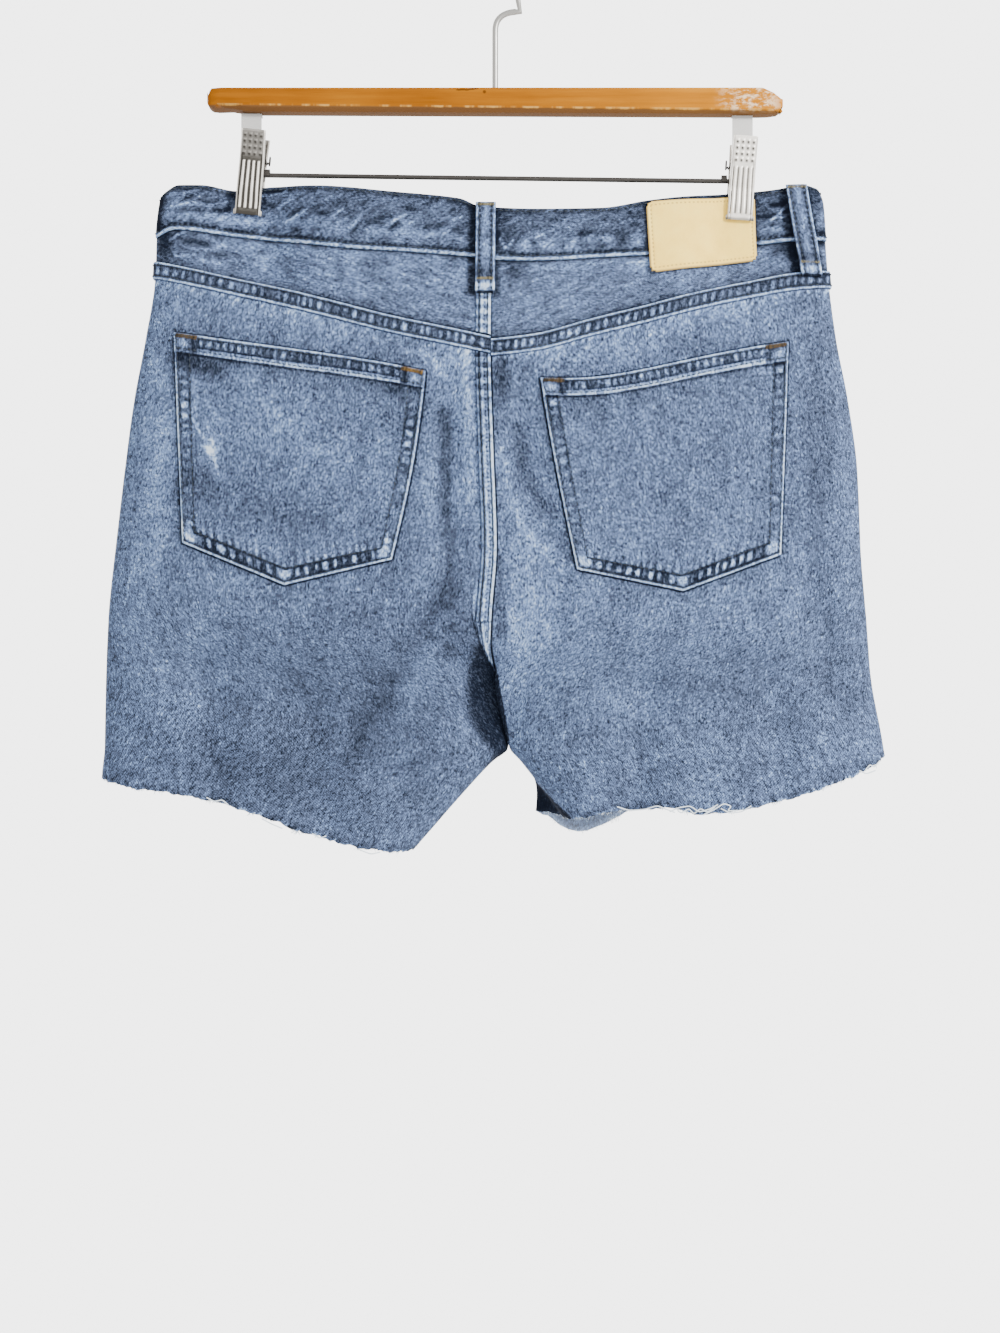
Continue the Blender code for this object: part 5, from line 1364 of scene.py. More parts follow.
def make_pockets():
    for side in (-1, 1):
        u = edged(212, POCKET_WIDE)[:, None]
        v = edged(182, POCKET_HIGH)[None, :]
        x, drop = pocket_place(side, u, v)
        width, height = mix(*POCKET_WIDTHS, v), mix(*POCKET_HEIGHTS, np.abs(2 * u - 1))
        near, top, foot = np.minimum(u * width, (1 - u) * width), v * height, (1 - v) * height * 0.96
        across, below = u * width, top - POCKET_HEM
        sides = np.minimum(near, foot)
        rim = np.minimum(sides, top)
        lift = PANEL_FACE + (POCKET_FACE - PANEL_FACE) * rounded(rim) + POCKET_HEM_LIFT * (1 - ease(below / 0.8))
        surface = shell(side, angle_at(side, "back", x, drop), drop, lift)
        at_foot = foot < near
        along = np.where(at_foot, across, top)
        strength = 0.75 + 0.55 * noise(along / 19.0, 0.0, 93 + side)
        edge = strength * worn_spots(sides, along, 90 + side, 6.1, 0.20, 0.20)
        edge = np.where(at_foot, worn_spots(sides, along, 95 + side, 5.7, 0.36, 0.30), edge)
        corner = bell(np.hypot(foot - 5.6, near - 5.6), 4.6)
        point = bell(np.hypot(foot - 6.0, (u - 0.5) * width), 4.0)
        edge = mix(edge, 0.22 - 0.40 * bell(sides - 2.2, 0.7), np.clip(1.3 * (corner + point), 0, 1) * (sides < 8.0))
        strip = worn_spots(np.minimum(top, 9.0), across, 80 + side, 4.7, 0.26, 0.20, 2.3, 4.7) * (top < 9.0)
        strip = mix(strip, 0.15, ease((top - 7.6) / 0.8)) - 0.14 * bell(top - 7.7, 0.5)
        box = mix(-0.16, 0.22, bell(near - 6.4, 3.6) * bell(top - 6.2, 3.2)) - 0.26 * bell(near - 12.4, 0.8)
        strip = np.where(near < 15.0, box, strip)
        tones = cloth_tone(surface[0]) + np.where(below < 0, strip, edge)
        # A pale worn rim, with painted shadow at the pocket's very edge.
        tones += 0.36 * bell(rim - 0.85, 0.75) - 0.55 * bell(rim, 0.26)
        # Under the hem: a pale fold edge, painted shadow just beneath it, and painted shade fading down the pocket.
        tones += (sides > 1.5) * (0.24 * bell(below + 0.5, 0.6) - 0.30 * bell(below - 0.6, 0.6))
        tones += edge_shadow(below, 0.12, 7.0) * (below > 0) * (0.8 + 0.6 * noise(across / 6.0, 0, 83))
        pucker = rope(across, foot, 4.6, 85 + side, 0.1) * fading(foot - 9.5, 4.0)
        tones += 0.20 * pucker * (sides > 9.5)
        piece = lay(f"patch_pocket_{SIDE_NAME[side]}", surface, flat_marks(surface[0], tones, 90.0 * side))
        keep(piece, DENIM, "washed denim", f"back_pocket_{SIDE_NAME[side]}")


def loop_lift(v):
    """How far the underside of a belt loop stands off the body at each share of its length."""
    on_band, on_fell = BAND_FACE + LAYER_GAP, FELL_FACE + LAYER_GAP
    return mix(on_band, on_fell, ease((v - LOOP_STEP_SHARE) / LOOP_STEP_SPAN)) + LOOP_BOW * np.sin(math.pi * v)


def make_loops():
    for row in LOOPS:
        across = (edged(14, LOOP_WIDTH) * LOOP_WIDTH)[:, None]
        v = edged(90, LOOP_LENGTH)[None, :]
        drop = mix(row["head"], row["foot"], v) + 0.0 * across
        x = row["x"] + row["lean"] * v + across - LOOP_WIDTH / 2
        side = np.minimum(across, LOOP_WIDTH - across)
        rim = np.minimum(side, np.minimum(v, 1 - v) * LOOP_LENGTH)
        surface = surface_at(row["face"], x, drop, loop_lift(v) + LOOP_WALL * (0.25 + 0.75 * rounded(rim)))
        stitched = 0.34 * beat(drop, 3.2, 0.75, 0.45) * bell(side - 2.6, 0.8)
        # The loop's very edge is painted dark as the shadow line round it.
        tones = 0.02 + 0.26 * bell(side - 0.7, 0.7) - stitched - 0.4 * bell(side, 0.25) + 0.08 * bell(side - 6.2, 1.6)
        tones = tones + 0.07 * noise(drop / 2.2, x / 2.2, 7) + 0.06 * noise(drop / 9.0, 0.0, 8)
        tones = tones - 0.22 * bell(v - 0.79, 0.06) + 0.28 * bell(v - 0.925, 0.034) - 0.42 * ease((v - 0.97) / 0.012)
        piece = lay(row["name"] + "_strap", surface, flat_marks(surface[0], tones, 130.0), 1.4)
        keep(piece, DENIM_SHADE, "denim folds", row["name"])


# ---- Sewing and loose threads ----


def small_thread():
    """The points and faces of one stitch: a short thread, one unit long."""
    deselect()
    bpy.ops.mesh.primitive_uv_sphere_add(segments=5, ring_count=3, radius=0.5)
    obj = bpy.context.object
    edit_all()
    bpy.ops.transform.rotate(value=math.pi / 2, orient_axis="Y", center_override=(0, 0, 0))
    bpy.ops.object.mode_set(mode="OBJECT")
    mesh = obj.data
    points = np.empty(len(mesh.vertices) * 3)
    mesh.vertices.foreach_get("co", points)
    faces = [tuple(face.vertices) for face in mesh.polygons]
    bpy.data.objects.remove(obj)
    return points.reshape(-1, 3), faces


STITCH = small_thread()


def copies(name, places, along, normal, sizes, tones, bend):
    """Many turned stitches in one mesh, bent down at their ends; sizes are length, width and height."""
    points, faces = STITCH
    across = np.cross(normal, along)
    axes = np.stack([along, across, normal], 1)
    local = points[None] * sizes[:, None, :]
    local[..., 2] += bend * (1 - (2 * points[None, :, 0]) ** 2) - bend / 2
    world = places[:, None, :] + np.einsum("nki,nij->nkj", local, axes)
    count, size = len(places), len(points)
    mesh = bpy.data.meshes.new(name)
    all_faces = [tuple(k * size + v for v in face) for k in range(count) for face in faces]
    mesh.from_pydata((world.reshape(-1, 3) * MM).tolist(), [], all_faces)
    attribute = mesh.attributes.new("tone", "FLOAT", "POINT")
    attribute.data.foreach_set("value", np.repeat(tones, size))
    mesh.shade_smooth()
    obj = bpy.data.objects.new(name, mesh)
    bpy.context.scene.collection.objects.link(obj)
    return obj


# Rows of stitches: how far each lies inside its edge, or beside its line.
BAND_ROWS, YOKE_ROWS, SEAT_ROWS = (2.9, 2.2), (2.1, 8.9), (2.0, 7.0)
POCKET_ROWS, MOUTH_ROWS, LOOP_ROWS, CENTRE_ROWS = ((2.0, 0.012), (9.2, 0.088)), (2.0, 8.4), (-3.9, 3.9), (2.2, 7.6)
STITCH_LIFT = 0.05


class Sewing:
    """Stitches gathered row by row, then made as one mesh."""

    def __init__(self, name, pitch=1, length=1, width=1, bend=0.1):
        self.name, self.pitch, self.length, self.width, self.bend = name, pitch, length, width, bend
        self.rows = []

    def add(self, places, along, normals, lengths, width, height):
        count = len(places)
        sizes = np.stack([lengths, np.full(count, width), np.full(count, height)], -1)
        self.rows.append((places, along, normals, sizes))

    def row(self, surface):
        """One row along the points of a surface."""
        points, normals = surface
        run = run_along(points)
        count = max(int(run[-1] / self.pitch), 1)
        where = (np.arange(count) + 0.5) * run[-1] / count
        along = unit(read_at(where + 0.4, run, points) - read_at(where - 0.4, run, points))
        normal = read_at(where, run, normals)
        normal = unit(normal - along * (along * normal).sum(-1, keepdims=True))
        lengths = self.length * (0.88 + 0.24 * chance(count, len(self.rows)))
        self.add(read_at(where, run, points), along, normal, lengths, self.width, self.width)

    def bar(self, ends, normal, width, pitch=0.62):
        """A bar tack: short threads laid side by side across a line."""
        span = ends[1] - ends[0]
        count = int(np.linalg.norm(span) / pitch)
        share = (np.arange(count) + 0.5) / count
        lean = unit(np.cross(normal, unit(span)) + 0.16 * unit(span))
        lengths = width * (0.85 + 0.3 * chance(count, len(self.rows) + 1))
        places = ends[0] + span * share[:, None] + normal * 0.12
        self.add(places, np.tile(lean, (count, 1)), np.tile(normal, (count, 1)), lengths, pitch * 1.15, 0.7)

    def make(self, paint):
        places, along, normals, sizes = map(np.concatenate, zip(*self.rows))
        tones = 0.3 * (chance(len(places), 5) - 0.5)
        keep(copies(self.name, places, along, normals, sizes, tones, self.bend), paint, "denim folds")


def sew_band(sewing):
    for side in (-1, 1):
        angles = spread(0.0, 179.0, 300)
        top = on_both_faces(side, angles, waist_edge)
        foot = on_both_faces(side, angles, band_seam)
        sewing.row(shell(side, angles, foot - BAND_ROWS[0], BAND_FACE + 2 * STITCH_LIFT))
        sewing.row(shell(side, angles, top + BAND_ROWS[1], BAND_FACE + 2 * STITCH_LIFT))


def sew_yokes(sewing):
    for side in (-1, 1):
        angles = spread(0.5, SIDE_SEAM_ANGLE - 1.0, 200)
        seam = drop_on_edge(side, angles, yoke_seam[side])
        for across in YOKE_ROWS:
            sewing.row(shell(side, angles, seam + across, FELL_FACE + STITCH_LIFT))
    for first, last in ((52.0, 95.0), (109.5, SEAT_FELL_END - 3.0)):
        drop = spread(first, last, 120)
        seam = inner["left"](drop) - inner["parting"](drop)
        for across in SEAT_ROWS:
            angle = angle_at(-1, "back", seam - across, drop)
            sewing.row(shell(-1, angle, drop, FELL_FACE + STITCH_LIFT))


# How far u and v run in a pocket, and its middle width and height to the point inside its edge.
POCKET_RUN, POCKET_MIDDLE_WIDTH, POCKET_POINT_HEIGHT = (150.0, 125.0), 143.0, 126.0


def pocket_line(side, corners):
    """A line through places in a pocket, each u and v."""
    corners = np.array(corners, float)
    run = run_along(corners * POCKET_RUN)
    u, v = read_at(np.arange(0.0, run[-1], 0.8), run, corners).T
    x, drop = pocket_place(side, u, v)
    lift = POCKET_FACE + STITCH_LIFT + POCKET_HEM_LIFT * (v < POCKET_HEM_SHARE)
    return shell(side, angle_at(side, "back", x, drop), drop, lift)


def sew_pockets(sewing):
    for side in (-1, 1):
        for inset, top in POCKET_ROWS:
            across, foot = inset / POCKET_MIDDLE_WIDTH, 1 - inset / POCKET_HEIGHTS[1]
            point = (0.5, 1 - inset / POCKET_POINT_HEIGHT)
            path = [(across, top), (across, foot), point, (1 - across, foot), (1 - across, top)]
            sewing.row(pocket_line(side, path))
        for v in (0.017, 0.076):
            sewing.row(pocket_line(side, [(0.014, v), (0.5, v), (0.986, v)]))


def sew_loops(sewing):
    v = spread(0.02, 0.98, 40)
    for row in LOOPS:
        drop = mix(row["head"], row["foot"], v)
        for across in LOOP_ROWS:
            x = row["x"] + row["lean"] * v + across
            sewing.row(surface_at(row["face"], x, drop, loop_lift(v) + LOOP_WALL + STITCH_LIFT))


def sew_front(sewing):
    for side in (-1, 1):
        angles = spread(SIDE_SEAM_ANGLE + 1.0, POCKET_OPENING_START, 90)
        mouth = mouth_line(side, angles)
        for down in MOUTH_ROWS:
            sewing.row(shell(side, angles, mouth + down, PANEL_FACE + STITCH_LIFT))
        drop = spread(62.0, 340.0, 160)
        sewing.row(shell(side, np.full(drop.shape, SIDE_SEAM_ANGLE + 2.6), drop, PANEL_FACE + STITCH_LIFT))
    for inset in FLY_LINES:
        x, drop = fly_line(inset, 70).T
        sewing.row(surface_at("front", x, drop, PANEL_FACE + STITCH_LIFT))
    drop = spread(62.0, 330.0, 150)
    for across in CENTRE_ROWS:
        x = inner["front"](drop) + inner["parting"](drop) + across
        sewing.row(surface_at("front", x, drop, PANEL_FACE + STITCH_LIFT))


def sew_tacks(gold, brown, olive):
    for side in (-1, 1):
        for first, last in ((0.012, 0.098), (0.902, 0.988)):
            points, normals = pocket_line(side, [(first, 0.016), (last, 0.016)])
            tack = gold if side < 0 and first > 0.5 else brown
            tack.bar(points[[0, -1]], normals[0], 3.3)
    for row in LOOPS:
        for v, face in ((0.035, BAND_FACE), (0.85, FELL_FACE)):
            x = row["x"] + row["lean"] * v + np.array((-5.2, 5.2))
            lift = face + LAYER_GAP + LOOP_WALL + LOOP_BOW * math.sin(math.pi * v)
            points, normals = surface_at(row["face"], x, mix(row["head"], row["foot"], v), lift)
            olive.bar(points, normals[0], 2.2)
    for x, drop in ((-36.0, 150.0), (-8.0, 176.0)):
        points, normals = surface_at("front", x + np.array((-3.5, 3.5)), drop, PANEL_FACE)
        olive.bar(points, normals[0], 2.0)


def hem_lines(face):
    """The raw edge on one face of each leg."""
    hem, first, cells = {"back": (back_hem, 0.6, 260), "front": (front_hem, 180.0, 200)}[face]
    angles = spread(first, SIDE_SEAM_ANGLE, cells)
    return [shell(side, angles, hem(side, angles) - 0.3, 0.2) for side in (-1, 1)]


FRAY_PITCH = 0.36


def make_fray(face, seed):
    """Loose weft ends and fluff along the raw edges."""
    ends = []
    for draw, (points, outwards) in enumerate(hem_lines(face), seed):
        run = run_along(points)
        count = int(run[-1] / FRAY_PITCH)
        where = run[-1] * (np.arange(count) + chance(count, draw)) / count
        middle, normal = read_at(where, run, points), read_at(where, run, outwards)
        edge = np.gradient(middle, axis=0)
        edge /= np.linalg.norm(edge, axis=-1, keepdims=True) + 1e-9
        swing = 2.2 * (chance(count, draw, 1.0) - 0.5)
        out = 0.5 * (chance(count, draw, 2.0) - 0.5)
        way = unit(np.array([0.0, 0.0, -1.0]) + edge * swing[:, None] + normal * out[:, None])
        clump = 0.55 + 0.9 * np.clip(noise(where / 4.0, 0.0, seed), -0.5, 1.0)
        length = (0.8 + 2.6 * chance(count, draw, 3.0) ** 2.2) * clump
        normal = unit(np.cross(np.cross(way, normal), way))
        sunk = normal * (0.6 * chance(count, draw, 4.0))[:, None]
        width = (0.22 + 0.30 * chance(count, draw, 5.0)) * np.minimum(frayed(middle[:, 0]), 1.2)
        sizes = np.stack([length, width, width], -1)
        ends.append((middle + way * (length * 0.38)[:, None] - sunk, way, normal, sizes))
    places, along, normals, sizes = map(np.concatenate, zip(*ends))
    tones = 0.5 * (chance(len(places), seed, 6.0) - 0.5)
    piece = copies(f"hem_fray_{face}", places, along, normals, sizes, tones, 0.25)
    keep(piece, LOOSE_THREAD, "washed denim")


def wire(name, path, radius, sides):
    """A round wire or thread along a path."""
    deselect()
    bpy.ops.curve.primitive_nurbs_path_add(radius=1.0)
    obj = bpy.context.object
    obj.name = name
    curve_data = obj.data
    curve_data.splines.clear()
    spline = curve_data.splines.new("POLY")
    spline.points.add(len(path) - 1)
    for point, place in zip(spline.points, path):
        point.co = (*(value * MM for value in place), 1.0)
    curve_data.dimensions = "3D"
    curve_data.bevel_depth = radius * MM
    curve_data.bevel_resolution = max(sides // 4 - 1, 0)
    curve_data.use_fill_caps = True
    bpy.ops.object.convert(target="MESH")
    obj = bpy.context.object
    obj.name = obj.data.name = name
    return obj


def join(name, pieces):
    deselect()
    for piece in pieces:
        piece.select_set(True)
    bpy.context.view_layer.objects.active = pieces[0]
    bpy.ops.object.join()
    obj = bpy.context.object
    obj.name = obj.data.name = name
    return obj


def smooth_path(points, count):
    """A smooth line through given points."""
    points = np.array(points, float)
    run = run_along(points)
    line = read_at(np.linspace(0, run[-1], count), run, points)
    reach = max(count // (2 * len(points)), 1)
    kernel = np.hanning(2 * reach + 3)[1:-1]
    kernel /= kernel.sum()
    padded = np.concatenate([np.repeat(line[:1], reach, 0), line, np.repeat(line[-1:], reach, 0)])
    return np.stack([np.convolve(column, kernel, "valid") for column in padded.T], -1)


# Long loose threads at the right hem, each a run of distances across and drops.
LOOSE_THREADS = (
    ((74, 383.2), (82, 385.8), (92, 385.0), (99, 382.4), (104, 384.6), (110, 386.8)),
    ((106, 386.4), (112, 383.6), (119, 382.6), (124, 386.4), (131, 384.4), (136, 381.4)),
    ((126, 388.4), (133, 385.0), (139, 381.0), (144, 382.8), (141, 385.6), (148, 385.4)),
    ((137, 384.0), (143, 387.0), (150, 386.2), (156, 382.4)),
    ((222, 361.4), (227, 363.6), (233, 361.6)),
    ((110, 383.6), (113, 387.2), (118, 384.2), (121, 387.6), (125, 384.0), (129, 386.6), (134, 383.0)),
    ((236, 355.6), (232, 359.6), (229, 358.0), (226, 361.8)),
    ((-176, 377.6), (-171, 380.4), (-166, 379.2), (-162, 382.6)),
    ((-112, 399.6), (-107, 402.6), (-103, 401.2)),
    ((-142, 390.2), (-136, 393.4), (-129, 396.4)),
    ((-84, 409.0), (-76, 412.4), (-70, 411.0)),
)


def make_loose_threads():
    threads = []
    for k, run in enumerate(LOOSE_THREADS):
        x, drop = smooth_path(run, 40).T
        points, _ = surface_at("back", x, drop, PANEL_FACE + 0.5)
        points[:, 1] -= 0.5 * (1 + noise(np.arange(40) / 7.0, 0.0, k))
        threads.append(wire(f"thread_{k}", points, 0.40, 8))
    keep(join("loose_threads", threads), LOOSE_THREAD, "washed denim")


# ---- Patch, button and hanger ----


def make_patch():
    u, v = edged(110, PATCH_WIDE, 0.8)[:, None], edged(72, PATCH_HIGH, 0.8)[None, :]
    beside, above = np.minimum(u, 1 - u) * PATCH_WIDE, np.minimum(v, 1 - v) * PATCH_HIGH
    near_side, near_end = (PATCH_CORNER - np.minimum(gap, PATCH_CORNER) for gap in (beside, above))
    cut = PATCH_CORNER - np.sqrt(np.maximum(PATCH_CORNER**2 - near_side**2 - near_end**2, 0.0))
    cut = np.where((near_side > 0) & (near_end > 0), 0.3 * cut, 0.0)
    across, down = u + (0.5 - u) * 2 * cut / PATCH_WIDE, v + (0.5 - v) * 2 * cut / PATCH_HIGH

    def edge(end):
        return [mix(PATCH[end + "_inner"][k], PATCH[end + "_outer"][k], across) for k in (0, 1)]

    x, drop = (mix(top, foot, down) for top, foot in zip(edge("top"), edge("foot")))
    rim = np.minimum(beside, above)
    along = np.where(above < beside, u * PATCH_WIDE, v * PATCH_HIGH)
    lift = PATCH_FACE - PATCH_WALL * (1 - rounded(rim, 0.8)) - 0.25 * bell(rim - 2.5, 0.7)
    surface = surface_at("back", x, drop, lift + 0.15 * noise(x / 12.0, drop / 9.0, 4))
    piece = lay("blank_patch", surface, {"rim": rim, "along": along}, PATCH_SHELL)
    keep(piece, leather_paint(), "pale leather", "leather_patch")


BUTTON_X, BUTTON_SHANK_RADIUS = -12.0, 3.8
# Each step of the button: how far it rises, and how much wider it then is.
BUTTON_STEPS = (
    (0.9, 1.0), (0.25, 1.9), (0.35, 1.13), (0.6, 1.02), (0.5, 0.95), (0.3, 0.9), (-0.25, 0.88),
    (-0.15, 0.7), (0.1, 0.3),
)


def make_button():
    drop = (waist_edge["front"](BUTTON_X) + band_seam["front"](BUTTON_X)) / 2
    points, normals = surface_at("front", [BUTTON_X], [drop], BAND_FACE + LAYER_GAP)
    deselect()
    bpy.ops.mesh.primitive_circle_add(vertices=48, radius=BUTTON_SHANK_RADIUS * MM, fill_type="NGON")
    obj = bpy.context.object
    edit_all()
    for rise, grow in BUTTON_STEPS:
        bpy.ops.mesh.extrude_region_move(TRANSFORM_OT_translate={"value": (0, 0, rise * MM)})
        bpy.ops.transform.resize(value=(grow, grow, 1.0))
    bpy.ops.mesh.select_all(action="SELECT")
    bpy.ops.mesh.normals_make_consistent(inside=False)
    bpy.ops.object.mode_set(mode="OBJECT")
    across = unit(np.cross((0, 0, 1), normals[0]))
    axes = np.stack([across, np.cross(normals[0], across), normals[0]], 1)
    for vertex in obj.data.vertices:
        vertex.co = axes @ np.array(vertex.co) + points[0] * MM
    obj.name = obj.data.name = "shank_button"
    obj.data.shade_smooth()
    keep(obj, brass_paint(), "dull brass", "button")


# The clip's face: drop below its rod, distance from the middle plane, depth of its sides and width.
JAW = table(
    "drop reach flange width",
    (-28.2, 13.5, 1.6, 14.8), (-20.0, 11.2, 2.6, 15.0), (-8.0, 8.4, 4.0, 15.3), (0.0, 7.6, 4.0, 15.5),
    (7.0, 6.8, 2.9, 15.6), (15.0, 5.0, 1.3, 15.7), (22.5, 4.3, 1.02, 15.7),
)
RIB_PITCH, RIB_TOP, RIB_FOOT = 3.25, -10.6, 19.2
DIMPLE_PITCH, DIMPLE_FIRST, DIMPLE_STEP = 3.3, -25.0, 3.55
JAW_CORNER, JAW_WALL = 1.1, 0.9
# Painted reflection and shade on each part of a clip's face: how bright it is painted, with the left clip painted
# darker than the right for its darker reflection, ribs and rims painted as highlights, and grooves and pits painted
# as shadow; ridge is the share of the rib pitch that a rib's top fills.
PAINTED_SHINE = {
    "left": {"face": 0.24, "low": 0.06, "rib": 0.92, "rim": 0.70, "pit": 0.32, "groove": 0.10, "ridge": 0.55},
    "right": {"face": 0.94, "low": 0.92, "rib": 1.0, "rim": 0.72, "pit": 1.05, "groove": 0.80, "ridge": 0.68},
}


def lean_over(clip, points):
    """Moves points given about a clip's middle on the rod to its place, at its lean."""
    turn = math.radians(clip["lean"])
    x, y, z = np.moveaxis(points, -1, 0)
    leant = [x * math.cos(turn) + z * math.sin(turn), y, z * math.cos(turn) - x * math.sin(turn)]
    return np.stack(leant, -1) + (clip["x"], 0.0, WAIST_LEVEL - clip["drop"])


def jaw_section(width, reach, flange):
    """A clip's face with its two turned-in sides: distances across and out, column by column."""
    half, side = width / 2, reach - flange
    left = [(-half, mix(side, reach - JAW_CORNER, share)) for share in (0.0, 0.5, 1.0)]
    for turn in np.radians(spread(0.0, 90.0, 4))[1:]:
        left.append((JAW_CORNER * (1 - np.cos(turn)) - half, reach - JAW_CORNER * (1 - np.sin(turn))))
    flat = [(share * (half - JAW_CORNER), reach) for share in spread(-1.0, 1.0, 52)[1:-1]]
    columns = left + flat + [(-x, y) for x, y in reversed(left)]
    return (np.concatenate([column[k] for column in columns]) for k in (0, 1))


def make_jaw(row, face, facing, painted_shine):
    shape = column_curves(JAW)
    down = spread(JAW[0]["drop"], JAW[-1]["drop"], 96)[None, :]
    width, reach = shape["width"](down), shape["reach"](down) + row[face + "_lift"] * ease((down - 2.0) / 14.0)
    x, y = jaw_section(width, reach, shape["flange"](down))
    inset = width / 2 - np.abs(x)
    face_on = (y > reach - 0.01) * 1.0

    spacing = RIB_PITCH * mix(0.94, 1.04, ease((down + 10.0) / 30.0))
    beside = np.abs((x / spacing) % 1.0 - 0.5) * 2
    inside = (np.abs(x) < 2.0 * spacing) * 1.0
    length = ease((down - RIB_TOP) / 1.4) * ease((RIB_FOOT - down) / 1.0)
    rib = inside * length * np.sqrt(np.clip(1 - (beside / painted_shine["ridge"]) ** 2, 0, 1))
    across = (x / DIMPLE_PITCH) % 1.0
    row_place = (down - DIMPLE_FIRST) / DIMPLE_STEP + 0.5
    up = row_place % 1.0
    grid = inside * ((row_place > 0) & (row_place < 4))
    pyramid = np.clip(1 - 2.3 * np.maximum(np.abs(across - 0.5), np.abs(up - 0.5)), 0, 1) * grid
    # Painted shadow in each dimple.
    dark = grid * bell(np.hypot((across - 0.5) * 1.1, (up - 0.66)), 0.25)
    y = y + (0.75 * rib + 0.8 * pyramid - 0.3 * bell(inset - 1.6, 0.5) * (down > -12)) * face_on

    # Painted reflection and shade: the plain face painted dark or pale for each clip, with ribs, the upper faces of
    # the pyramids and a line at the top painted as highlights, and grooves, pits, the lines beside the sides and a
    # line at the foot painted as shadow.
    plain = mix(painted_shine["face"], painted_shine["low"], ease((down + 14.0) / 3.0))
    tones = plain + (painted_shine["rib"] - plain) * ease((rib - 0.25) / 0.5) * face_on
    tones += (painted_shine["rim"] - plain) * np.maximum(1 - face_on, bell(inset, 0.55)) - painted_shine["pit"] * dark * face_on
    tones -= 0.30 * bell(inset - 1.5, 0.45) * face_on * (down > -14)
    tones += 0.3 * pyramid * (up < 0.5) + 0.2 * bell(down + 27.6, 0.8) - 0.5 * painted_shine["pit"] * bell(down - 21.9, 0.9)
    tones -= painted_shine["groove"] * inside * length * bell(beside - 1.0, 0.35) * face_on

    points = lean_over(row, np.stack([x, facing * y, -np.broadcast_to(down, x.shape)], -1))
    name = f"clip_{row['name']}_{face}"
    piece = lay(name + "_plate", (points, np.full(points.shape, (0.0, facing, 0.0))), {"tone": tones}, JAW_WALL)
    keep(piece, NICKEL, "nickel steel", name + "_jaw")


SPRING_TURNS, SPRING_WIRE_RADIUS, SPRING_CENTRE_OUT = 8, 0.5, 2.5


def make_spring(row):
    inward = 1 if row["x"] < 0 else -1
    angles = spread(0.0, 2 * math.pi * SPRING_TURNS, 160)
    along = mix(-8.5, 8.6, angles / angles[-1])
    out = SPRING_CENTRE_OUT + 1.7 * np.cos(angles)
    coil = np.stack([along, out, 12.5 + 1.7 * np.sin(angles)], -1)
    angles = np.radians(spread(-80.0, 250.0, 24))
    out = SPRING_CENTRE_OUT + 1.7 * np.cos(angles)
    loop = np.stack([np.full(angles.shape, 9.8), out, 12.9 + 2.7 * np.sin(angles)], -1)
    path = lean_over(row, np.concatenate([coil, loop]) * (inward, 1, 1))
    piece = wire(f"clip_{row['name']}_coil", path, SPRING_WIRE_RADIUS, 8)
    keep(piece, STEEL_DARK, "nickel steel", f"clip_{row['name']}_spring")


ROD_HALF_LENGTH, ROD_RADIUS, ROD_DROPS = 158.5, 1.45, (-6.8, -2.7)
COLLARS, COLLAR_RADIUS = (-141.2, 142.0), 2.5


def make_rod():
    def height(x):
        return WAIST_LEVEL - mix(*ROD_DROPS, (x + ROD_HALF_LENGTH) / (2 * ROD_HALF_LENGTH))

    line = [(x, 0.0, height(x)) for x in spread(-ROD_HALF_LENGTH, ROD_HALF_LENGTH, 24)]
    pieces = [wire("rod", line, ROD_RADIUS, 16)]
    for x in COLLARS:
        path = [(x + dx, 0.0, height(x) + 1.2) for dx in (-1.7, -0.6, 0.6, 1.7)]
        pieces.append(wire("collar", path, COLLAR_RADIUS, 16))
    keep(join("clip_rail", pieces), STEEL_DARK, "nickel steel", "clip_rod")


HOOK_RADIUS, HOOK_WIRE_RADIUS = 21.0, 1.9
HOOK_START, HOOK_END = -48.0, 188.0
NECK_FOOT_DROP, NECK_DROP, NECK_REACH = 36.0, 22.0, 19.0
STEM_SUNK = 12.0


def make_hook():
    middle = HOOK_WIRE_RADIUS - HOOK_RADIUS
    stem = WAIST_LEVEL - BAR_TOP - STEM_SUNK + SEAM_GAP
    foot, top = np.array((0.0, middle - NECK_FOOT_DROP)), np.array((0.0, middle - NECK_DROP))
    end = np.array((NECK_REACH, middle - NECK_DROP - 1.9))
    path = [(0.0, 0.0, stem), (0.0, 0.0, stem + 21.0), (0.0, 0.0, foot[1] - 2.0)]
    for share in spread(0.0, 0.9, 10):
        x, z = mix(mix(foot, top, share), mix(top, end, share), share)
        path.append((x, 0.0, z))
    for turn in np.radians(spread(HOOK_START, HOOK_END, 48)):
        path.append((HOOK_RADIUS * math.cos(turn), 0.0, middle + HOOK_RADIUS * math.sin(turn)))
    keep(wire("hook_wire", path, HOOK_WIRE_RADIUS, 20), STEEL, "nickel steel", "hanger_hook")


# The bar's ends: along it, then how much less deep, lower at the top and higher at the foot it is there.
BAR_ENDS = table(
    "x thinner top_cut foot_cut",
    (-178.0, 8.0, 7.4, 5.6), (-177.2, 5.0, 4.6, 3.8), (-176.2, 3.0, 2.0, 2.9), (-174.9, 1.6, 0.3, 2.3),
    (-169.0, 0.0, 0.0, 1.9), (-160.0, 0.0, 0.0, 1.8), (-155.5, 0.0, 0.0, 0.3),
    (165.0, 0.0, 0.0, 0.0), (172.0, 1.5, 3.0, 0.2), (176.6, 3.4, 6.4, 1.0), (178.0, 7.0, 8.8, 2.4),
)
BAR_TOP, BAR_FOOT, BAR_DEPTH, BAR_HALF = -59.0, -45.0, 15.0, 178.0
BAR_TILT, BAR_CHAMFER, BAR_ROUND = 0.0044, 2.4, 0.9


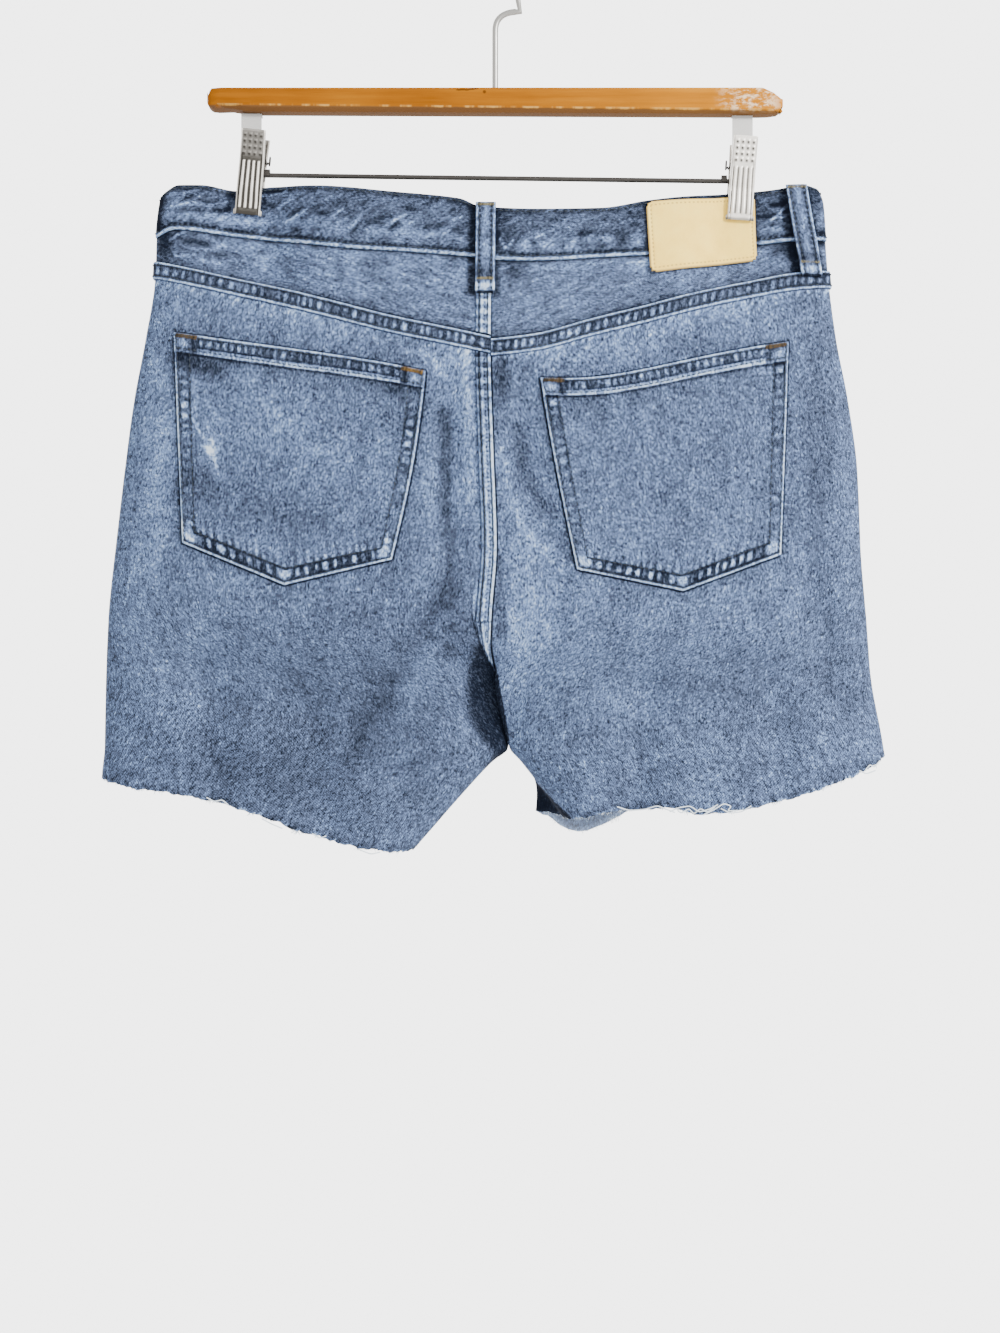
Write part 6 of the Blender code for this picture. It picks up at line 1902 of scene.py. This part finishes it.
def pick(test):
    """Selects, in edit mode, the corners that pass the test, given in millimetres."""
    bpy.ops.object.mode_set(mode="OBJECT")
    mesh = bpy.context.object.data
    for part in (*mesh.polygons, *mesh.edges):
        part.select = False
    for vertex in mesh.vertices:
        vertex.select = bool(test(*(value / MM for value in vertex.co)))
    bpy.ops.object.mode_set(mode="EDIT")
    bpy.ops.mesh.select_mode(type="VERT")


def make_bar():
    deselect()
    high, low = WAIST_LEVEL - BAR_TOP, WAIST_LEVEL - BAR_FOOT
    middle = (high + low) / 2
    centre = (0.0, 0.0, middle * MM)
    bpy.ops.mesh.primitive_cube_add(size=1.0, location=centre)
    obj = bpy.context.object
    bpy.ops.object.transform_apply(location=True, rotation=False, scale=False)
    edit_all()
    size = (2 * BAR_HALF * MM, BAR_DEPTH * MM, (high - low) * MM)
    bpy.ops.transform.resize(value=size, center_override=centre)
    for place in (*[row["x"] for row in BAR_ENDS[1:-1]], *spread(-150.0, 150.0, 20)):
        bpy.ops.mesh.select_all(action="SELECT")
        bpy.ops.mesh.bisect(plane_co=(place * MM, 0, 0), plane_no=(1, 0, 0))
    for row in BAR_ENDS:
        pick(lambda x, y, z: abs(x - row["x"]) < 0.05 and z > middle)
        bpy.ops.transform.translate(value=(0, 0, -row["top_cut"] * MM))
        pick(lambda x, y, z: abs(x - row["x"]) < 0.05 and z <= middle)
        bpy.ops.transform.translate(value=(0, 0, row["foot_cut"] * MM))
        pick(lambda x, y, z: abs(x - row["x"]) < 0.05)
        bpy.ops.transform.resize(value=(1, 1 - row["thinner"] / BAR_DEPTH, 1), center_override=(0, 0, 0))
    for place in sorted({round(vertex.co.x / MM, 3) for vertex in obj.data.vertices}):
        pick(lambda x, y, z: abs(x - place) < 0.05 and z <= middle)
        bpy.ops.transform.translate(value=(0, 0, -(place + BAR_HALF) * BAR_TILT * MM))
    pick(lambda x, y, z: z < middle - 3.0 and -174.0 < x < 178.5 and abs(z - low + (x + BAR_HALF) * BAR_TILT) < 2.7)
    bpy.ops.mesh.select_mode(type="EDGE")
    bpy.ops.mesh.bevel(offset=BAR_CHAMFER * MM, segments=1)
    bpy.ops.mesh.select_all(action="SELECT")
    bpy.ops.mesh.normals_make_consistent(inside=False)
    bpy.ops.object.mode_set(mode="OBJECT")
    modifier = obj.modifiers.new("soft edges", "BEVEL")
    modifier.width, modifier.segments, modifier.limit_method = BAR_ROUND * MM, 3, "ANGLE"
    modifier.angle_limit = math.radians(28)
    bpy.ops.object.modifier_apply(modifier="soft edges")
    bpy.ops.object.shade_smooth_by_angle(angle=math.radians(30))
    obj.name = obj.data.name = "wooden_bar"
    keep(obj, wood_paint(), "varnished wood", "hanger_bar")


def leather_paint():
    paint = Paint("natural leather", 0.7, specular=0.15)
    place = paint.place()
    rim, along = paint.mark("rim"), paint.mark("along")
    grain = paint.speckle(place, 900.0, 3.0, 0.6)
    cloud = paint.speckle(place, 55.0, 3.0, 0.6)
    colour = paint.ramp(cloud * 0.8 + grain * 0.2, (
        (0.30, (0.86, 0.565, 0.108)), (0.50, (0.97, 0.66, 0.135)), (0.72, (0.99, 0.73, 0.175)),
    ))
    line = (rim - 2.5).absolute()
    beat = (along * (2 * math.pi / 2.5)).sine()
    hole = (1.0 - line.above(0.25, 0.5)) * beat.above(-0.1, 0.4)
    edge = 1.0 - rim.above(0.1, 1.5)
    colour = paint.blend(edge * 0.75, colour, (0.50, 0.33, 0.13, 1.0))
    colour = paint.blend(hole * 0.6, colour, (0.42, 0.27, 0.10, 1.0))
    height = grain * 0.4 + cloud * 0.4 - hole * 2.0 - (1.0 - line.above(0.3, 0.9)) * 0.6
    return paint.finish(colour, 0.62 + grain * 0.2, paint.bump(height, 0.0002, 0.7))


WARM_BEECH = (0.180, 0.052, 0.0016), (0.262, 0.084, 0.0025), (0.33, 0.120, 0.005)
PALE_BEECH = (0.30, 0.104, 0.0032), (0.405, 0.146, 0.0048), (0.52, 0.215, 0.013)
# Marks on the bar, in metres: its lower front edge, a scratch and a knot.
LOWER_EDGE, LOWER_EDGE_SLOPE = -0.1037, -0.0096
SCRATCH, SCRATCH_SLOPE, SCRATCH_HALF = (-0.0172, -0.092918), 0.09, 0.0066
KNOT = (-0.0065, -0.0944)


def wood_paint():
    """Varnished beech: redder at one end and paler at the other, worn along its front edge and at one end, with its
    underside painted darker as shade.
    """
    paint = Paint("varnished beech", 0.5, specular=0.03)
    place = paint.place()
    x, y, z = paint.parts(place)
    grain = paint.speckle(place, 1.0, 5.0, 0.6, (9.0, 240.0, 240.0))
    pores = paint.speckle(place, 1.0, 3.0, 0.7, (60.0, 1600.0, 1600.0))
    cloud = paint.speckle(place, 1.0, 3.0, 0.6, (16.0, 40.0, 40.0))
    tone = grain * 0.5 + pores * 0.15 + cloud * 0.35
    warm, pale = (paint.ramp(tone, list(zip((0.32, 0.50, 0.68), shades))) for shades in (WARM_BEECH, PALE_BEECH))
    colour = paint.blend(x.above(-0.02, 0.16), warm, pale)
    in_front = (0.0 - y).above(0.004, 0.007)
    worn = paint.speckle(place, 1.0, 6.0, 0.75, (120.0, 260.0, 260.0))
    at_end = 1.0 - (x - 0.159).absolute().above(0.006, 0.026)
    bare = at_end * worn.above(0.47, 0.59) * in_front
    colour = paint.blend(bare * 0.66, colour, (0.92, 0.72, 0.48, 1.0))
    wander = paint.speckle(place, 1.0, 4.0, 0.65, (70.0, 1.0, 1.0))
    edge = z - x * LOWER_EDGE_SLOPE - LOWER_EDGE + (wander - 0.5) * 0.0016
    # Painted shade: below the lower front edge the underside is painted dark brown.
    under = 1.0 - edge.above(-0.0008, 0.0002)
    colour = paint.blend(under * 0.86, colour, (0.100, 0.050, 0.021, 1.0))
    line = (1.0 - (edge - 0.0002).absolute().above(0.0003, 0.0009)) * wander.above(0.46, 0.60) * in_front
    colour = paint.blend(line * 0.55, colour, (0.60, 0.36, 0.10, 1.0))
    off = x - SCRATCH[0]
    scratch = (z - SCRATCH[1] - off * SCRATCH_SLOPE + (wander - 0.5) * 0.003).absolute()
    within = 1.0 - off.absolute().above(SCRATCH_HALF - 0.0008, SCRATCH_HALF + 0.0008)
    mark = (1.0 - scratch.above(0.0003, 0.0008)) * within * in_front
    knot = ((x - KNOT[0]) ** 2.0 + (z - KNOT[1]) ** 2.0) ** 0.5
    mark = mark + (1.0 - knot.above(0.0006, 0.0014)) * in_front
    colour = paint.blend(mark * 0.75, colour, (0.05, 0.014, 0.004, 1.0))
    height = grain * 0.6 + pores * 0.6 + bare * 1.2
    return paint.finish(colour, 0.42 + bare * 0.3 + pores * 0.15, paint.bump(height, 0.0002, 0.5))


def metal_paint(name, low, high, metallic, roughness, stretch=(300.0, 300.0, 2600.0)):
    """Plated steel, brushed along its length, darker or paler by its tone mark, which on the clip faces carries
    painted reflection, highlights and shade.
    """
    paint = Paint(name, roughness, metallic)
    place = paint.place()
    brush = paint.speckle(place, 1.0, 3.0, 0.6, stretch)
    cloud = paint.speckle(place, 160.0, 3.0, 0.6)
    tone = paint.mark("tone") + (brush - 0.5) * 0.25 + (cloud - 0.5) * 0.2
    colour = paint.ramp(tone, ((0.0, low), (0.35, tuple(mix(a, b, 0.2) for a, b in zip(low, high))), (1.0, high)))
    return paint.finish(colour, roughness + cloud * 0.2, paint.bump(brush, 0.00008, 0.3))


def brass_paint():
    paint = Paint("old brass", 0.4, 0.9)
    place = paint.place()
    cloud = paint.speckle(place, 420.0, 4.0, 0.65)
    colour = paint.ramp(cloud, ((0.35, (0.20, 0.13, 0.06)), (0.55, (0.50, 0.34, 0.16)), (0.75, (0.70, 0.52, 0.28))))
    return paint.finish(colour, 0.3 + cloud * 0.3, paint.bump(cloud, 0.0001, 0.4))


def thread_paint(name, low, high):
    """Twisted thread, lighter or darker from stitch to stitch."""
    paint = Paint(name, 0.75, specular=0.2)
    place = paint.place()
    twist = paint.speckle(place, 1500.0, 2.0, 0.6)
    tone = paint.mark("tone") * 2.0 + twist * 0.7 + 0.15
    colour = paint.ramp(tone, ((0.15, low), (0.85, high)))
    return paint.finish(colour, normal=paint.bump(twist, 0.0001, 0.5))


NICKEL = metal_paint("bright nickel", (0.03, 0.026, 0.02), (0.95, 0.90, 0.82), 0.45, 0.34)
STEEL = metal_paint("steel wire", (0.35, 0.34, 0.32), (0.75, 0.74, 0.70), 0.9, 0.3)
STEEL_DARK = metal_paint("dull steel", (0.06, 0.055, 0.05), (0.5, 0.48, 0.45), 0.9, 0.34)
DARK_THREAD = thread_paint("indigo thread", (0.006, 0.009, 0.014), (0.035, 0.045, 0.055))
GOLD_THREAD = thread_paint("gold thread", (0.030, 0.017, 0.004), (0.20, 0.115, 0.032))
BROWN_THREAD = thread_paint("brown thread", (0.012, 0.010, 0.006), (0.105, 0.066, 0.030))
OLIVE_THREAD = thread_paint("olive thread", (0.045, 0.038, 0.018), (0.22, 0.19, 0.11))
LOOSE_THREAD = thread_paint("white thread", (0.50, 0.60, 0.70), (0.90, 0.95, 0.98))
PALE_PLATE = metal_paint("pale strap steel", (0.55, 0.54, 0.52), (0.85, 0.84, 0.81), 0.3, 0.4)


def make_sewing():
    dark = Sewing("topstitching", 3.3, 2.7, 0.8, 0.5)
    for sew in (sew_band, sew_yokes, sew_pockets, sew_loops, sew_front):
        sew(dark)
    dark.make(DARK_THREAD)
    tacks = [Sewing(name) for name in ("gold_tack", "pocket_tacks", "loop_tacks")]
    sew_tacks(*tacks)
    for tack, thread in zip(tacks, (GOLD_THREAD, BROWN_THREAD, OLIVE_THREAD)):
        tack.make(thread)


set_camera()
set_light()
set_floor()
for side in (-1, 1):
    make_back_panel(side)
    make_front_panel(side)
make_yokes()
make_facings()
make_waistband()
make_fells()
make_pockets()
make_loops()
make_sewing()
make_fray("back", 3)
make_fray("front", 7)
make_loose_threads()
make_patch()
make_button()
make_bar()
make_hook()
make_rod()
for clip in CLIPS:
    make_spring(clip)
    for face, facing in (("back", -1), ("front", 1)):
        make_jaw(clip, face, facing, PAINTED_SHINE[clip["name"]])
for strap in ("hanger_strap_left", "hanger_strap_right"):
    bpy.data.objects[strap].data.materials.clear()
    bpy.data.objects[strap].data.materials.append(PALE_PLATE)
